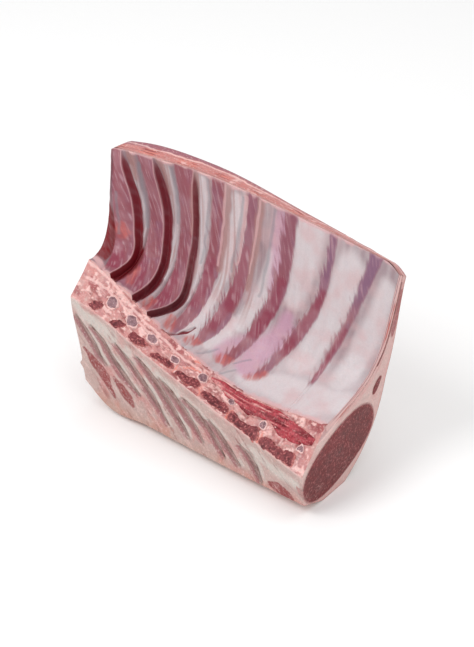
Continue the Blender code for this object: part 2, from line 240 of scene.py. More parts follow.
def mesh_piece(name, rows, masks, material, nodes, around=True, ends=True):
    """A skin through rows of points. Around joins each row's last point to its first; ends fills both
    end rows. Masks are values at the points, which the material mixes its colours by."""
    if around and ends:
        # Each end row is doubled, so that the end faces meet the sides at a crisp edge.
        rows = np.concatenate((rows[:1], rows, rows[-1:]))
        masks = {n: np.concatenate((m[:1], m, m[-1:])) for n, m in masks.items()}
    count, width = rows.shape[:2]
    index = np.arange(count * width).reshape(count, width)
    right = np.roll(index, -1, axis=1) if around else index[:, 1:]
    left = index if around else index[:, :-1]
    quads = np.stack((left[:-1], right[:-1], right[1:], left[1:]), -1).reshape(-1, 4)
    faces = quads.tolist()
    if around and ends:
        faces += [index[0, ::-1].tolist(), index[-1].tolist()]
    mesh = bpy.data.meshes.new(name)
    mesh.from_pydata(rows.reshape(-1, 3).tolist(), [], faces)
    for mask, values in masks.items():
        layer = mesh.attributes.new(mask, "FLOAT", "POINT")
        layer.data.foreach_set("value", np.broadcast_to(values, (count, width)).astype(np.float32).ravel())
    mesh.materials.append(material)
    mesh.shade_smooth()
    mesh.update()
    obj = bpy.data.objects.new(name, mesh)
    scene.collection.objects.link(obj)
    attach(obj, "root")
    if nodes:
        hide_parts(*nodes)
    return obj


def capped(rows, masks, shares=(1.0, 0.97, 0.85, 0.65, 0.4, 0.15), at=(0, -1)):
    """Rows with smaller and smaller rings added at the ends, and masks kept in step, with "cut" on them."""
    masks = {name: np.broadcast_to(values, rows.shape[:2]) for name, values in masks.items()}
    masks.setdefault("cut", np.zeros(rows.shape[:2]))
    for end in at:
        ring = rows[end]
        middle = ring.mean(axis=0)
        rings = np.array([middle + (ring - middle) * s for s in shares])
        more = {name: np.repeat(values[end][None], len(shares), 0) for name, values in masks.items()}
        more["cut"] = np.ones((len(shares), rows.shape[1]))
        order = slice(None, None, -1) if end == 0 else slice(None)
        first, second = (rings[order], rows) if end == 0 else (rows, rings)
        rows = np.concatenate((first, second))
        for name in masks:
            pair = (more[name][order], masks[name]) if end == 0 else (masks[name], more[name])
            masks[name] = np.concatenate(pair)
    return rows, masks


# ---------------------------------------------------------------- materials

def linear(hexes):
    """A colour given as sRGB hex, as linear light."""
    parts = [int(hexes[k : k + 2], 16) / 255 for k in (1, 3, 5)]
    return [p / 12.92 if p <= 0.04045 else ((p + 0.055) / 1.055) ** 2.4 for p in parts] + [1.0]


def add(tree, kind, inputs, **settings):
    """Adds a node with its settings, and sets or links its inputs."""
    made = tree.nodes.new(kind)
    for name, value in settings.items():
        setattr(made, name, value)
    for name, value in inputs.items():
        if isinstance(value, bpy.types.NodeSocket):
            tree.links.new(value, made.inputs[name])
        else:
            made.inputs[name].default_value = value
    return made


def wet_tissue(name, base, mottle, layers, grain, flecks, roughness, bump_mm, depth_mm=1.5):
    """A moist animal tissue. The base colour wanders to mottle's (colour, mm, share). Layers are (mask,
    colour), laid over it one by one. Grain is (mm, strength) and flecks are (colour, mm, share)."""
    material = bpy.data.materials.new(name)
    material.use_nodes = True
    tree = material.node_tree
    shader = tree.nodes["Principled BSDF"]
    spot = add(tree, "ShaderNodeTexCoord", {}).outputs["Object"]
    clouds = add(tree, "ShaderNodeTexNoise", {"Vector": spot, "Scale": 1 / (mottle[1] * MM), "Detail": 4})
    spread = add(
        tree,
        "ShaderNodeMapRange",
        {"Value": clouds.outputs["Fac"], "From Min": 0.35, "From Max": 0.65, "To Max": mottle[2]},
    )
    colour = add(
        tree,
        "ShaderNodeMix",
        {0: spread.outputs[0], 6: linear(base), 7: linear(mottle[0])},
        data_type="RGBA",
    ).outputs[2]
    for mask, tint in layers:
        amount = add(tree, "ShaderNodeAttribute", {}, attribute_name=mask).outputs["Fac"]
        colour = add(
            tree,
            "ShaderNodeMix",
            {0: amount, 6: colour, 7: linear(tint)},
            data_type="RGBA",
        ).outputs[2]
    dots = add(tree, "ShaderNodeTexNoise", {"Vector": spot, "Scale": 1 / (flecks[1] * MM), "Detail": 2})
    picked = add(
        tree,
        "ShaderNodeMapRange",
        {"Value": dots.outputs["Fac"], "From Min": 0.56, "From Max": 0.68, "To Max": flecks[2]},
    )
    colour = add(
        tree,
        "ShaderNodeMix",
        {0: picked.outputs[0], 6: colour, 7: linear(flecks[0])},
        data_type="RGBA",
    ).outputs[2]
    specks = add(
        tree,
        "ShaderNodeTexNoise",
        {"Vector": spot, "Scale": 1 / (grain[0] * MM), "Detail": 3, "Roughness": 0.6},
    )
    light = add(
        tree,
        "ShaderNodeMapRange",
        {
            "Value": specks.outputs["Fac"],
            "From Min": 0.25,
            "From Max": 0.75,
            "To Min": 1 - grain[1],
            "To Max": 1 + grain[1],
        },
    )
    shaded = add(
        tree,
        "ShaderNodeMix",
        {0: 1.0, 6: colour, 7: light.outputs[0]},
        data_type="RGBA",
        blend_type="MULTIPLY",
    )
    tree.links.new(shaded.outputs[2], shader.inputs["Base Color"])
    wet = add(
        tree,
        "ShaderNodeMapRange",
        {
            "Value": clouds.outputs["Fac"],
            "From Min": 0.3,
            "From Max": 0.7,
            "To Min": roughness - 0.08,
            "To Max": roughness + 0.1,
        },
    )
    tree.links.new(wet.outputs[0], shader.inputs["Roughness"])
    relief = add(
        tree,
        "ShaderNodeBump",
        {"Height": specks.outputs["Fac"], "Distance": bump_mm * MM, "Strength": 0.8},
    )
    tree.links.new(relief.outputs[0], shader.inputs["Normal"])
    shader.inputs["IOR"].default_value = 1.38
    shader.inputs["Specular IOR Level"].default_value = 0.35
    shader.inputs["Subsurface Weight"].default_value = 0.1
    shader.inputs["Subsurface Radius"].default_value = (1.0, 0.35, 0.28)
    shader.inputs["Subsurface Scale"].default_value = depth_mm * MM
    return material


# Membrane over ribs and muscle: smooth and moist, milky on bone, mauve where muscle shows through it; painted shade and
# painted highlights are mixed into its colour.
PLEURA = wet_tissue(
    "membrane_over_rib_and_muscle",
    "#c0b3b6",
    ("#cabec1", 9, 0.6),
    (
        # Partly painted shade, darker towards the shoulder end and up the wall, and partly the tissue's own grey-mauve
        # tone.
        ("shade", "#957b81"),
        # Milky film in patches, and pale streaks along the ribs that are partly the bone's whiteness and partly painted
        # highlight.
        ("milk", "#dad0d2"),
        ("lilac", "#c898af"),
        ("blush", "#cfa9ab"),
        ("meat", "#91525c"),
        ("violet", "#84607a"),
        ("wine", "#8c3b4f"),
        ("veil", "#bb949c"),
        ("brown", "#a87b77"),
        ("rosy", "#c2615a"),
        ("grey", "#83848c"),
        # Pale film and cut edges, and painted highlights along the loin-side edges of the first three muscles.
        ("pale", "#d9adae"),
        # dark and deep are painted shade in the grooves beside the first three muscles and in a crease, over the
        # muscle's own dark wine red.
        ("dark", "#7a2a34"),
        ("crimson", "#7a1018"),
        ("deep", "#50101a"),
        ("cut", "#dfb3af"),
    ),
    grain=(0.9, 0.05),
    flecks=("#d8c8cb", 2.5, 0.0),
    roughness=0.38,
    bump_mm=0.12,
)
# Fat, and the sawn faces in it: cream to pink, waxy and soft, with blood seeping in.
FAT = wet_tissue(
    "raw_lamb_fat",
    "#b99b95",
    ("#c6aea7", 6, 0.7),
    (
        # White fat, and beside each spine in the middle face a painted highlight.
        ("white", "#cdc3bc"),
        ("salmon", "#c67f7c"),
        ("peach", "#bf9482"),
        ("grey", "#85766f"),
        ("purple", "#9c636e"),
        ("red", "#8f4343"),
        ("crimson", "#922c35"),
        ("coral", "#dc7f72"),
        # Pale threads and cut edges; also painted highlights on the rim and along the chine's ridges, and the painted
        # lightening of the loin face.
        ("line", "#f3c9c4"),
    ),
    grain=(1.1, 0.12),
    flecks=("#e6cdc7", 1.3, 0.35),
    roughness=0.38,
    bump_mm=0.2,
)
# Cut lean meat: brown-red, with the grain of fibres cut across.
LEAN = wet_tissue(
    "cut_lean_lamb",
    "#6e3132",
    ("#793637", 5, 0.8),
    (("bright", "#8a3437"), ("marbling", "#b98782"), ("rim", "#d3a7a2")),
    grain=(1.3, 0.5),
    flecks=("#9c6160", 1.3, 0.5),
    roughness=0.46,
    bump_mm=0.25,
)
# Red muscle torn along the chine: wet crimson strands with paler film between.
SHREDS = wet_tissue(
    "torn_red_muscle",
    "#a53a44",
    ("#b9525a", 3, 0.7),
    (("pale", "#e0a5a1"), ("dark", "#6d1823")),
    grain=(1.1, 0.4),
    flecks=("#dd9a94", 1.2, 0.35),
    roughness=0.3,
    bump_mm=0.3,
)
# Sawn marrow: dark red sponge with pale specks of bone.
MARROW = wet_tissue(
    "sawn_red_marrow",
    "#7a3439",
    ("#8f4549", 2.5, 0.8),
    (("dark", "#541d24"), ("rim", "#b8706c")),
    grain=(1.2, 0.55),
    flecks=("#b5706c", 1.2, 0.6),
    roughness=0.42,
    bump_mm=0.3,
)
# Cartilage: milky grey, smooth.
CARTILAGE = wet_tissue(
    "cartilage",
    "#8c676c",
    ("#9c7b81", 2.5, 0.8),
    (("dark", "#6a444c"), ("rim", "#e4bab6")),
    grain=(1.0, 0.25),
    flecks=("#c9a5a6", 1.2, 0.5),
    roughness=0.34,
    bump_mm=0.1,
)
# Sawn spine bone: grey-brown and open-grained, red with blood along one side and with a pale painted highlight along
# the other.
SPINE = wet_tissue(
    "sawn_spine_bone",
    "#8f6c68",
    ("#9d7f79", 3, 0.7),
    # The rim layer here is a pale painted highlight; blood and dark are the bone's own colours.
    (("rim", "#bfa8a2"), ("blood", "#935452"), ("dark", "#734f4c")),
    grain=(0.8, 0.15),
    flecks=("#c9bab2", 1.1, 0.25),
    roughness=0.46,
    bump_mm=0.15,
)


# ---------------------------------------------------------------- ribs and the muscles between them

def band(run, left, right, soft_left, soft_right):
    """1 between two runs, with soft edges given in millimetres."""
    return smooth((run - left) * LENGTH / soft_left + 0.5) * smooth((right - run) * LENGTH / soft_right + 0.5)


# What shows in the lining, as paths of (run, share of the way up, half-width in mm).
# RIB_GLINTS are pale streaks along the ribs: partly the bone's whiteness under the film, partly painted highlight.
RIB_GLINTS = (
    ((0.004, 0.80, 0.6), (0.008, 0.72, 1.4), (0.014, 0.57, 1.6), (0.022, 0.44, 1.3), (0.032, 0.34, 0.5)),
    ((0.060, 0.92, 0.6), (0.080, 0.75, 1.0), (0.094, 0.50, 1.2), (0.100, 0.30, 0.8)),
    ((0.184, 0.97, 1.6), (0.193, 0.75, 1.9), (0.197, 0.55, 1.5), (0.210, 0.30, 0.5)),
    ((0.310, 0.97, 1.6), (0.302, 0.75, 1.4), (0.303, 0.50, 0.9), (0.312, 0.30, 0.4)),
    ((0.436, 0.95, 1.8), (0.418, 0.80, 1.2), (0.396, 0.60, 0.8), (0.380, 0.40, 0.8)),
    ((0.575, 0.80, 1.4), (0.536, 0.55, 2.2), (0.500, 0.35, 2.2)),
    ((0.700, 0.98, 7.0), (0.690, 0.86, 5.0), (0.660, 0.65, 2.5)),
    ((0.850, 0.90, 5.0), (0.800, 0.60, 5.0), (0.760, 0.30, 5.0)),
    ((0.980, 0.90, 2.0), (0.950, 0.60, 4.0), (0.930, 0.25, 4.0)),
)
VESSELS = (
    ((0.016, 0.75, 0.12), (0.026, 0.57, 0.20), (0.034, 0.44, 0.12)),
    ((0.084, 0.95, 0.16), (0.090, 0.78, 0.16), (0.101, 0.56, 0.12)),
    ((0.203, 0.98, 0.16), (0.205, 0.84, 0.20), (0.205, 0.70, 0.12)),
    ((0.329, 0.99, 0.20), (0.327, 0.89, 0.20), (0.314, 0.72, 0.20), (0.308, 0.56, 0.12)),
    ((0.456, 0.97, 0.16), (0.440, 0.86, 0.24), (0.426, 0.74, 0.24), (0.416, 0.62, 0.12)),
    ((0.577, 1.00, 0.16), (0.570, 0.92, 0.24), (0.560, 0.83, 0.32), (0.546, 0.72, 0.32), (0.536, 0.58, 0.12)),
    ((0.452, 0.03, 0.08), (0.472, 0.08, 0.12), (0.488, 0.14, 0.04)),
    ((0.554, 0.01, 0.08), (0.566, 0.05, 0.16), (0.582, 0.09, 0.04)),
    ((0.600, 0.20, 0.04), (0.575, 0.15, 0.08), (0.560, 0.12, 0.04)),
)
MILKY_PATCHES = (
    ((0.274, 0.34, 0.4), (0.270, 0.26, 1.5), (0.264, 0.17, 1.9), (0.248, 0.06, 0.8)),
    ((0.366, 0.18, 0.4), (0.352, 0.12, 1.0), (0.334, 0.05, 0.6)),
    ((0.378, 0.42, 1.6), (0.374, 0.29, 2.6), (0.374, 0.19, 2.6), (0.376, 0.10, 1.6)),
    ((0.480, 0.36, 1.5), (0.470, 0.25, 2.4), (0.450, 0.12, 2.0)),
    ((0.620, 0.07, 2.0), (0.750, 0.12, 7.0), (0.900, 0.10, 8.0), (0.980, 0.14, 4.0)),
)
RED_BLOTCHES = (
    ((0.036, 0.53, 0.6), (0.041, 0.47, 3.0), (0.044, 0.42, 0.6)),
    ((0.124, 0.22, 0.3), (0.128, 0.13, 1.0), (0.140, 0.07, 0.4)),
    ((0.226, 0.12, 0.6), (0.228, 0.05, 1.6), (0.236, 0.01, 0.8)),
    ((0.306, 0.12, 0.8), (0.318, 0.05, 1.8), (0.330, 0.04, 0.4)),
    ((0.394, 0.06, 1.2), (0.408, 0.09, 2.0), (0.420, 0.10, 0.5)),
    ((0.508, 0.09, 1.2), (0.524, 0.11, 2.6), (0.540, 0.13, 0.6)),
    ((0.630, 0.09, 0.3), (0.648, 0.12, 1.4), (0.668, 0.16, 0.8)),
)
WINE_STREAKS = (
    ((0.040, 0.36, 0.8), (0.056, 0.22, 2.4), (0.066, 0.10, 2.4)),
    ((0.118, 0.34, 0.8), (0.140, 0.20, 2.0), (0.165, 0.10, 2.0)),
    ((0.236, 0.40, 1.0), (0.240, 0.25, 1.8), (0.246, 0.12, 1.4)),
    ((0.384, 0.68, 0.2), (0.379, 0.60, 0.8), (0.378, 0.53, 0.3)),
    ((0.540, 0.99, 1.0), (0.530, 0.92, 1.3), (0.512, 0.84, 0.4)),
    ((0.338, 0.60, 1.2), (0.328, 0.45, 2.0), (0.330, 0.30, 1.6)),
    ((0.462, 0.75, 1.2), (0.446, 0.52, 1.8), (0.420, 0.25, 1.2)),
    ((0.610, 0.70, 1.6), (0.590, 0.52, 2.2), (0.556, 0.34, 1.2)),
    ((0.766, 0.75, 0.8), (0.730, 0.55, 2.2), (0.688, 0.34, 1.6)),
    ((0.868, 0.60, 0.5), (0.850, 0.38, 1.0), (0.842, 0.22, 0.4)),
)
BROWN_STRIPS = (
    ((0.400, 1.00, 1.6), (0.388, 0.85, 1.2), (0.378, 0.70, 1.0), (0.372, 0.58, 0.4)),
    ((0.524, 1.00, 1.5), (0.508, 0.85, 1.4), (0.494, 0.72, 1.2), (0.484, 0.58, 0.6)),
    ((0.284, 1.00, 0.8), (0.276, 0.85, 0.9), (0.272, 0.70, 0.5)),
    ((0.060, 1.00, 1.6), (0.066, 0.93, 1.0), (0.070, 0.86, 0.3)),
    ((0.163, 1.00, 1.6), (0.170, 0.93, 1.2), (0.176, 0.84, 0.3)),
)
PALE_EDGES = (
    ((0.390, 0.99, 0.4), (0.379, 0.88, 0.5), (0.368, 0.74, 0.4), (0.362, 0.60, 0.2)),
    ((0.517, 0.99, 0.4), (0.508, 0.90, 0.6), (0.494, 0.78, 0.4), (0.482, 0.66, 0.2)),
    ((0.468, 0.98, 0.7), (0.452, 0.84, 0.6), (0.434, 0.66, 0.3)),
)
LILAC_PATCHES = (
    ((0.592, 0.14, 4.0), (0.612, 0.28, 5.0), (0.650, 0.44, 3.0), (0.668, 0.56, 1.0)),
    ((0.590, 0.95, 1.4), (0.596, 0.82, 1.4), (0.580, 0.66, 0.5)),
    ((0.560, 0.30, 1.5), (0.530, 0.22, 3.0), (0.500, 0.14, 2.0)),
)
SALMON_FOOT = (((-0.010, 0.10, 2.0), (0.020, 0.07, 2.4), (0.045, 0.02, 1.6)),)
# CREASE is a fold, sunk in the relief and darkened with painted shade.
CREASE = ((0.334, 0.01, 0.3), (0.354, 0.045, 0.5), (0.370, 0.10, 0.8), (0.381, 0.17, 0.1))
FLANK_EDGE = (0.040, 0.034, 0.019, -0.003, -0.020)


def on_lining(spot, paths, soft):
    """1 on any of the paths drawn on the lining."""
    marks = np.zeros(spot.shape[:-1])
    for path in paths:
        corners = [(run * LENGTH, up * LINING_HEIGHT, half) for run, up, half in path]
        marks = np.maximum(marks, trail(spot, corners, soft))
    return marks


def strands(run, t, size, seed):
    """Uneven streaks along the muscle fibres, which slope across the muscles."""
    across = run * LENGTH + t * 34
    return lumps(np.stack((across / size, t * LINING_HEIGHT / 7), -1), 1.0, seed)


def lining_masks(run, t):
    """How bone, muscle, film, vessels and grooves show through the lining, anywhere on it, with painted shade and
    painted highlights mixed in.
    """
    spot = at_mm(run, t, LINING_HEIGHT)
    moved = stirred(spot, 5, 0.5, 3)
    fine = strands(run, t, 0.75, 5)
    coarse = strands(run, t, 1.7, 6)
    along_rib = lumps(np.stack((run * LENGTH / 0.8, t * 7), -1), 1.0, 8)
    broad = lumps(np.stack((run * LENGTH / 2.2, t * 5), -1), 1.0, 10)
    blots = rough(spot, 10, 12)
    faint = smooth(1.5 - run * 1.6)
    # Fine seams that run along the ribs of the shoulder half, above the bend.
    thin_lines = lumps(np.stack((run * LENGTH / 1.3, t * 2.5), -1), 1.0, 11)
    thin_lines = smooth(thin_lines * 3 - 0.8) * band(run, 0.1, 0.60, 20, 20) * smooth(t * 4 - 1.2)
    meat, violet, dark, deep, pale, crimson = (np.zeros(run.shape) for _ in range(6))
    for k, (left, right, groove) in enumerate(INTERCOSTALS):
        a, b, g = by_height(left, t), by_height(right, t), by_height(groove, t)
        width = (b - a) * LENGTH
        feather = (0.0, 0.0, 0.1, 0.3, 1.2, 1.5, 1.2, 0.9)[k]
        jag = (fine * 1.2 + coarse * 0.6) * feather
        far = (fine + coarse * 0.4) * (0.0, 0.0, 0.2, 0.5, 0.5, 0.6, 0.6, 0.4)[k]
        from_left = (run - a) * LENGTH
        from_right = (b - run) * LENGTH
        soft = (0.7, 0.7, 0.9, 1.2, 1.8, 2.0, 2.4, 2.4)[k]
        body = smooth((from_left + jag) / soft + 0.5) * smooth((from_right + far) / soft + 0.5)
        body = body * smooth(width / 1.2) * smooth((t - (0, 0, 0, 0.03, 0.05, 0.07, 0.09, 0.18)[k]) * 14 + 0.2 + coarse * 0.3)
        loose = smooth(1 - np.abs(from_left + 1.2) / 2.6) * smooth(fine * 2.2 - 0.5) * (0, 0, 0, 0.3, 0.6, 0.6, 0.5, 0.4)[k]
        body = np.maximum(body, loose * smooth((t - 0.15) * 8) * smooth((0.9 - t) * 8))
        meat = np.maximum(meat, body * (1, 1, 1, 1, 1, 1, 0.95, 0.85)[k])
        edge_tint = smooth(1.3 - from_right / np.maximum(width * 0.4, 0.5)) * (0.5 if k > 2 else 0.25)
        cloud = 0.35 * smooth(rough(spot * (1, 0.5), 6, 18) * 1.6 - 0.1)
        cloud = np.maximum(cloud, (0, 0, 0, 0, 0.3, 0.2, 0.8, 0.9)[k] * smooth((t - 0.62) * 4))
        violet = np.maximum(violet, body * np.maximum(edge_tint * smooth(0.4 + coarse), cloud))
        if k < 3:
            # A thin painted highlight along the loin-side edge of each of the first three, raised muscles.
            pale = np.maximum(pale, smooth(1 - np.abs(from_right - 0.2) / 0.6) * (0.8, 0.8, 0.4)[k])
            # The groove beside each of the first three muscles: painted shade, dark and deeper towards the chine, over
            # the wine and crimson of the muscle at its foot.
            across = (run - b) * LENGTH
            reach = by_height(SHADED_GROOVE_WIDTH[k], t) * (1 + 0.15 * coarse)
            wall = smooth(across / 0.3 + 0.3) * smooth((reach - across) / np.maximum(reach * 0.55, 0.8) + 0.25)
            deep = np.maximum(deep, wall * smooth(1.5 - t * 2.4) * (0.5, 0.6, 0.8)[k])
            dark = np.maximum(dark, wall * (1.0, 1.0, 0.9)[k] * smooth((1 - t) * 14 + 0.1) * (1 - 0.15 * smooth(fine + 0.2)))
            crimson = np.maximum(crimson, wall * (0.95, 0.35, 0.25)[k] * smooth(1.5 - t * 1.9 + 0.3 * coarse))
    flank = smooth((by_height(FLANK_EDGE, t) - run) * LENGTH / 0.7 + 0.5) * smooth((t - 0.07) * 14)
    blotches = on_lining(moved, RED_BLOTCHES, 3.2)
    glints = on_lining(moved, RIB_GLINTS, 2.0 + 4 * smooth(run * 1.8 - 0.4))
    masks = {
        # Painted shade: darker towards the shoulder end and higher up the wall, less on the ribs' pale streaks; its
        # lumps and rib lines are the tissue's own uneven grey-mauve.
        "shade": np.clip(
            0.95 * smooth(1.1 - run * 2.6)
            + (0.3 * smooth(0.9 - run * 1.2) + 0.6 * smooth(t * 3 - 0.6) * smooth(run * 3 - 0.7)) * (1 - 0.7 * glints)
            + 0.22 * broad
            + 0.18 * along_rib * faint,
            0,
            1,
        ),
        # Milky film in patches, and along the ribs pale streaks of painted highlight over the bone's own whiteness.
        "milk": np.maximum(on_lining(moved, MILKY_PATCHES, 3.0 + 4 * smooth(run * 2 - 0.8)) * 0.7, glints * (0.3 + 0.35 * smooth(run * 1.6) + 0.3 * along_rib * faint)),
        "lilac": on_lining(stirred(spot, 9, 2.0, 4), LILAC_PATCHES, 6.0) * 0.75,
        "blush": smooth(blots * 0.9 + 0.35) * 0.5 * smooth(run * 2.4 - 0.2),
        "meat": meat,
        "violet": violet,
        "wine": on_lining(spot + coarse[..., None] * 0.8, WINE_STREAKS, 3.0) * meat * 0.8,
        "veil": meat * (0.25 * smooth(rough(spot, 16, 9) * 1.6 + 0.2) + 0.5 * smooth(fine * 1.8 - 0.5) + 0.2 * smooth(coarse)),
        "brown": np.maximum(
            on_lining(moved + along_rib[..., None] * 0.5, BROWN_STRIPS, 2.4) * 0.7,
            thin_lines * (1 - meat) * 0.5,
        ),
        "rosy": blotches * (0.5 + 0.35 * fine),
        "grey": on_lining(moved, VESSELS, 1.2) * 0.42,
        # Pale edge lines and film, with the painted highlights on the first three muscles' edges.
        "pale": np.maximum(pale * 0.75, on_lining(moved, PALE_EDGES, 0.7) * 0.6),
        # Painted shade in the grooves and in the crease.
        "dark": np.maximum(dark, on_lining(moved, (CREASE,), 0.6)),
        "crimson": np.maximum(crimson, flank * (0.85 + 0.15 * fine)),
        # Deeper painted shade low in the grooves.
        "deep": deep,
    }
    foot = smooth(1.2 - t * 50 + lumps(spot, 3, 13) * 0.5)
    masks["pale"] = np.maximum(masks["pale"], np.maximum(foot, on_lining(moved, SALMON_FOOT, 2.0)) * 0.8)
    masks["pale"] = np.maximum(masks["pale"], smooth((t - 0.988) * 70 + lumps(spot, 2.5, 14) * 0.6) * 0.8)
    return masks


def lining_relief(run, t):
    spot = at_mm(run, t, LINING_HEIGHT)
    folds = on_lining(spot, (CREASE,), 0.8) * 1.3 + on_lining(spot, VESSELS, 0.6) * 0.2
    fibres = strands(run, t, 0.9, 5) * 0.05
    return rough(spot, 16, 21) * 0.45 + lumps(spot, 3.0, 23) * 0.08 + fibres - folds


LINING_ROWS = 300
UP = np.linspace(0.0, 1.0, LINING_ROWS)
WALL = np.linspace(0.0, 1.0, 16)


def wall_masks(depth, t):
    """A cut through the lining, in its layers: film, dark pink muscle, film, red muscle, fat."""
    spot = np.stack((depth, t * LINING_HEIGHT), -1)
    wander = lumps(spot * (0, 1), 5, 27) * 0.4
    flesh = band(depth / LENGTH, (0.9 + wander) / LENGTH, (1.7 + wander) / LENGTH, 0.4, 0.4) * smooth(t * 14)
    streak = lumps(np.stack((depth / 0.9, t * 9), -1), 1.0, 28)
    warm = smooth((depth - 1.6) / 0.8) * smooth((t - 0.3) * 8) * smooth((0.9 - t) * 12)
    deeper = band(depth / LENGTH, (2.6 + wander) / LENGTH, (3.4 + wander) / LENGTH, 0.5, 0.5)
    deeper = np.maximum(deeper, band(depth / LENGTH, (4.3 - wander) / LENGTH, 5.2 / LENGTH, 0.5, 0.5))
    deeper = deeper * smooth((0.5 - t) * 8) * smooth(streak * 2 + 0.9)
    rosy = np.maximum(deeper, warm * smooth(streak * 2 + 0.7))
    pale = warm * smooth(-streak * 2.5 - 0.4)
    return {"cut": (1 - flesh) * (1 - rosy), "meat": flesh, "rosy": rosy, "pale": pale}


def lining_piece(name, run, height, first=False, last=False):
    """A rib or a muscle between ribs: its face, its side walls and its hidden underside."""
    t = np.repeat(UP[:, None], run.shape[1], 1)
    height = height + lining_relief(run, t)
    rows, masks = [place(run, lining(run, t, height))], [lining_masks(run, t)]
    for side, shown in ((-1, last), (0, first)):
        down = WALL if shown else WALL[[0, -1]]
        down = down[::-1] if side == 0 else down
        level = height[:, [side]] * (1 - down) - RIB_LAYER * down
        at = np.repeat(run[:, [side]], len(down), 1)
        up = np.repeat(UP[:, None], len(down), 1)
        painted = lining_masks(at, up)
        if shown:
            layers = wall_masks(height[:, [side]] - level, up)
            painted = {name: layers.get(name, 0 * at) for name in painted} | {"cut": layers["cut"]}
        rows.append(place(at, lining(at, up, level)))
        masks.append(painted)
    names = set(masks[0]) | {"cut"}
    joined = {
        n: np.concatenate([m.get(n, 0 * m["meat"]) for m in masks], 1) for n in sorted(names)
    }
    rows, joined = capped(np.concatenate(rows, 1), joined)
    return mesh_piece(name, rows, joined, PLEURA, [name])


def make_ribs():
    count = len(INTERCOSTALS)
    for k in range(count + 1):
        side_of = 2 if k <= len(INTERCOSTAL_RISE) else 1
        start = by_height(INTERCOSTALS[k - 1][side_of], UP) if k else 0 * UP
        end = by_height(INTERCOSTALS[k][0], UP) if k < count else 0 * UP + 1.0
        width = (end - start).max() * LENGTH
        side = np.linspace(0, 1, max(10, round(width / 0.4)))
        run = start[:, None] + (end - start)[:, None] * side
        height = -0.3 + 1.2 * (1 - np.abs(2 * side - 1) ** 2.5)[None] + 0 * run
        lining_piece(f"rib_{k + 1}", run, height, first=k == 0, last=k == count)


def make_intercostals():
    for k, levels in enumerate(INTERCOSTALS):
        a, b, g = (by_height(level, UP) for level in levels)
        cols = max(12, round((b - a).max() * LENGTH / 0.4))
        share = np.linspace(0, 1, cols)[None]
        on_muscle = a[:, None] + (b - a)[:, None] * share
        if k >= len(INTERCOSTAL_RISE):
            lining_piece(f"intercostal_{k + 1}", on_muscle, -0.3 + 0.3 * np.sin(share * math.pi) + 0 * on_muscle)
            continue
        rise = INTERCOSTAL_RISE[k]
        low_end = smooth((1 - UP[:, None]) * 9 + 0.15)
        height = -0.3 + ((rise + 0.3) * share**1.3 + 0.8 * np.sin(share * math.pi) ** 0.8) * low_end + 0 * on_muscle
        steps = max(4, round((g - b).max() * LENGTH / 0.3))
        f = (np.arange(1, steps + 1) / steps)[None]
        in_groove = b[:, None] + (g - b)[:, None] * f
        width = (g - b)[:, None] * LENGTH
        depth = np.minimum(GROOVE_DEPTH[k], width)
        fall = smooth(f * np.maximum(width, 1.2) / 0.8)
        climb = smooth((1 - f) * 1.2)
        groove_height = height[:, -1:] * (1 - fall) - 0.3 * fall - depth * low_end * fall * climb
        run = np.concatenate((on_muscle, in_groove), 1)
        lining_piece(f"intercostal_{k + 1}", run, np.concatenate((height, groove_height), 1))


make_ribs()
make_intercostals()

# ---------------------------------------------------------------- the body

COLUMNS = 400
RUNS = np.linspace(0, 1, COLUMNS)
FACE_INSET = 0.0007
FAT_MASKS = ("white", "salmon", "peach", "grey", "purple", "red", "crimson", "coral", "line")
FRONT = (("toe", 8), ("median", 116), ("chine", 60), ("bed", 3))
REAR = (("bed", 25), ("rim", 40), ("back", 76), ("base", 8))
BED_SPLIT = 0.012

# Sawn spines in the middle face, as paths of (place along from the loin, height, half-width in mm).
SPINES = (
    ((-170, 61, 0.5), (-163, 53, 1.6), (-157, 46, 1.8), (-153, 40, 1.4), (-147, 35, 0.2)),
    ((-158, 58, 0.4), (-149, 51, 1.2), (-142, 42, 1.8), (-134, 34, 2.0), (-121, 24, 0.3)),
    ((-139, 54, 0.4), (-129, 46, 1.5), (-121, 38, 2.0), (-111, 29, 1.9), (-99, 14, 0.3)),
    ((-123, 52, 0.4), (-114, 46, 1.5), (-107, 40, 2.1), (-96, 28, 1.9), (-84, 13, 0.3)),
    ((-106, 45, 0.4), (-97, 39, 1.5), (-88, 32, 2.0), (-80, 24, 1.8), (-73, 15, 0.3)),
    ((-88, 39, 0.4), (-78, 34, 1.4), (-70, 28, 1.8), (-63, 20, 1.6), (-57, 12, 0.3)),
    ((-69, 33, 0.4), (-62, 28, 1.4), (-55, 21, 1.8), (-50, 16, 1.2), (-46, 12, 0.3)),
    ((-46, 27, 0.5), (-40, 24, 1.8), (-35, 18, 2.0), (-30, 8, 0.5)),
)
FACE_MEAT = (
    ((-165, 39, 0.6), (-157, 33, 3.2), (-149, 25, 3.8), (-142, 15, 0.8)),
    ((-142, 28, 0.6), (-136, 24, 2.6), (-131, 19, 3.0), (-127, 14, 0.6)),
    ((-24, 11, 1.4), (-18, 12, 3.2), (-12, 10, 3.0), (-9, 8, 1.6)),
)
FACE_WHITE = (
    ((-166, 65, 1.5), (-150, 61, 2.6), (-136, 56, 2.4)),
    ((-132, 54, 1.6), (-112, 48, 2.2), (-92, 41, 1.6)),
    ((-42, 29, 1.0), (-29, 26, 1.6), (-17, 23, 1.8), (-6, 22, 1.5)),
    ((-165, 62, 1.4), (-172, 72, 2.0)),
)

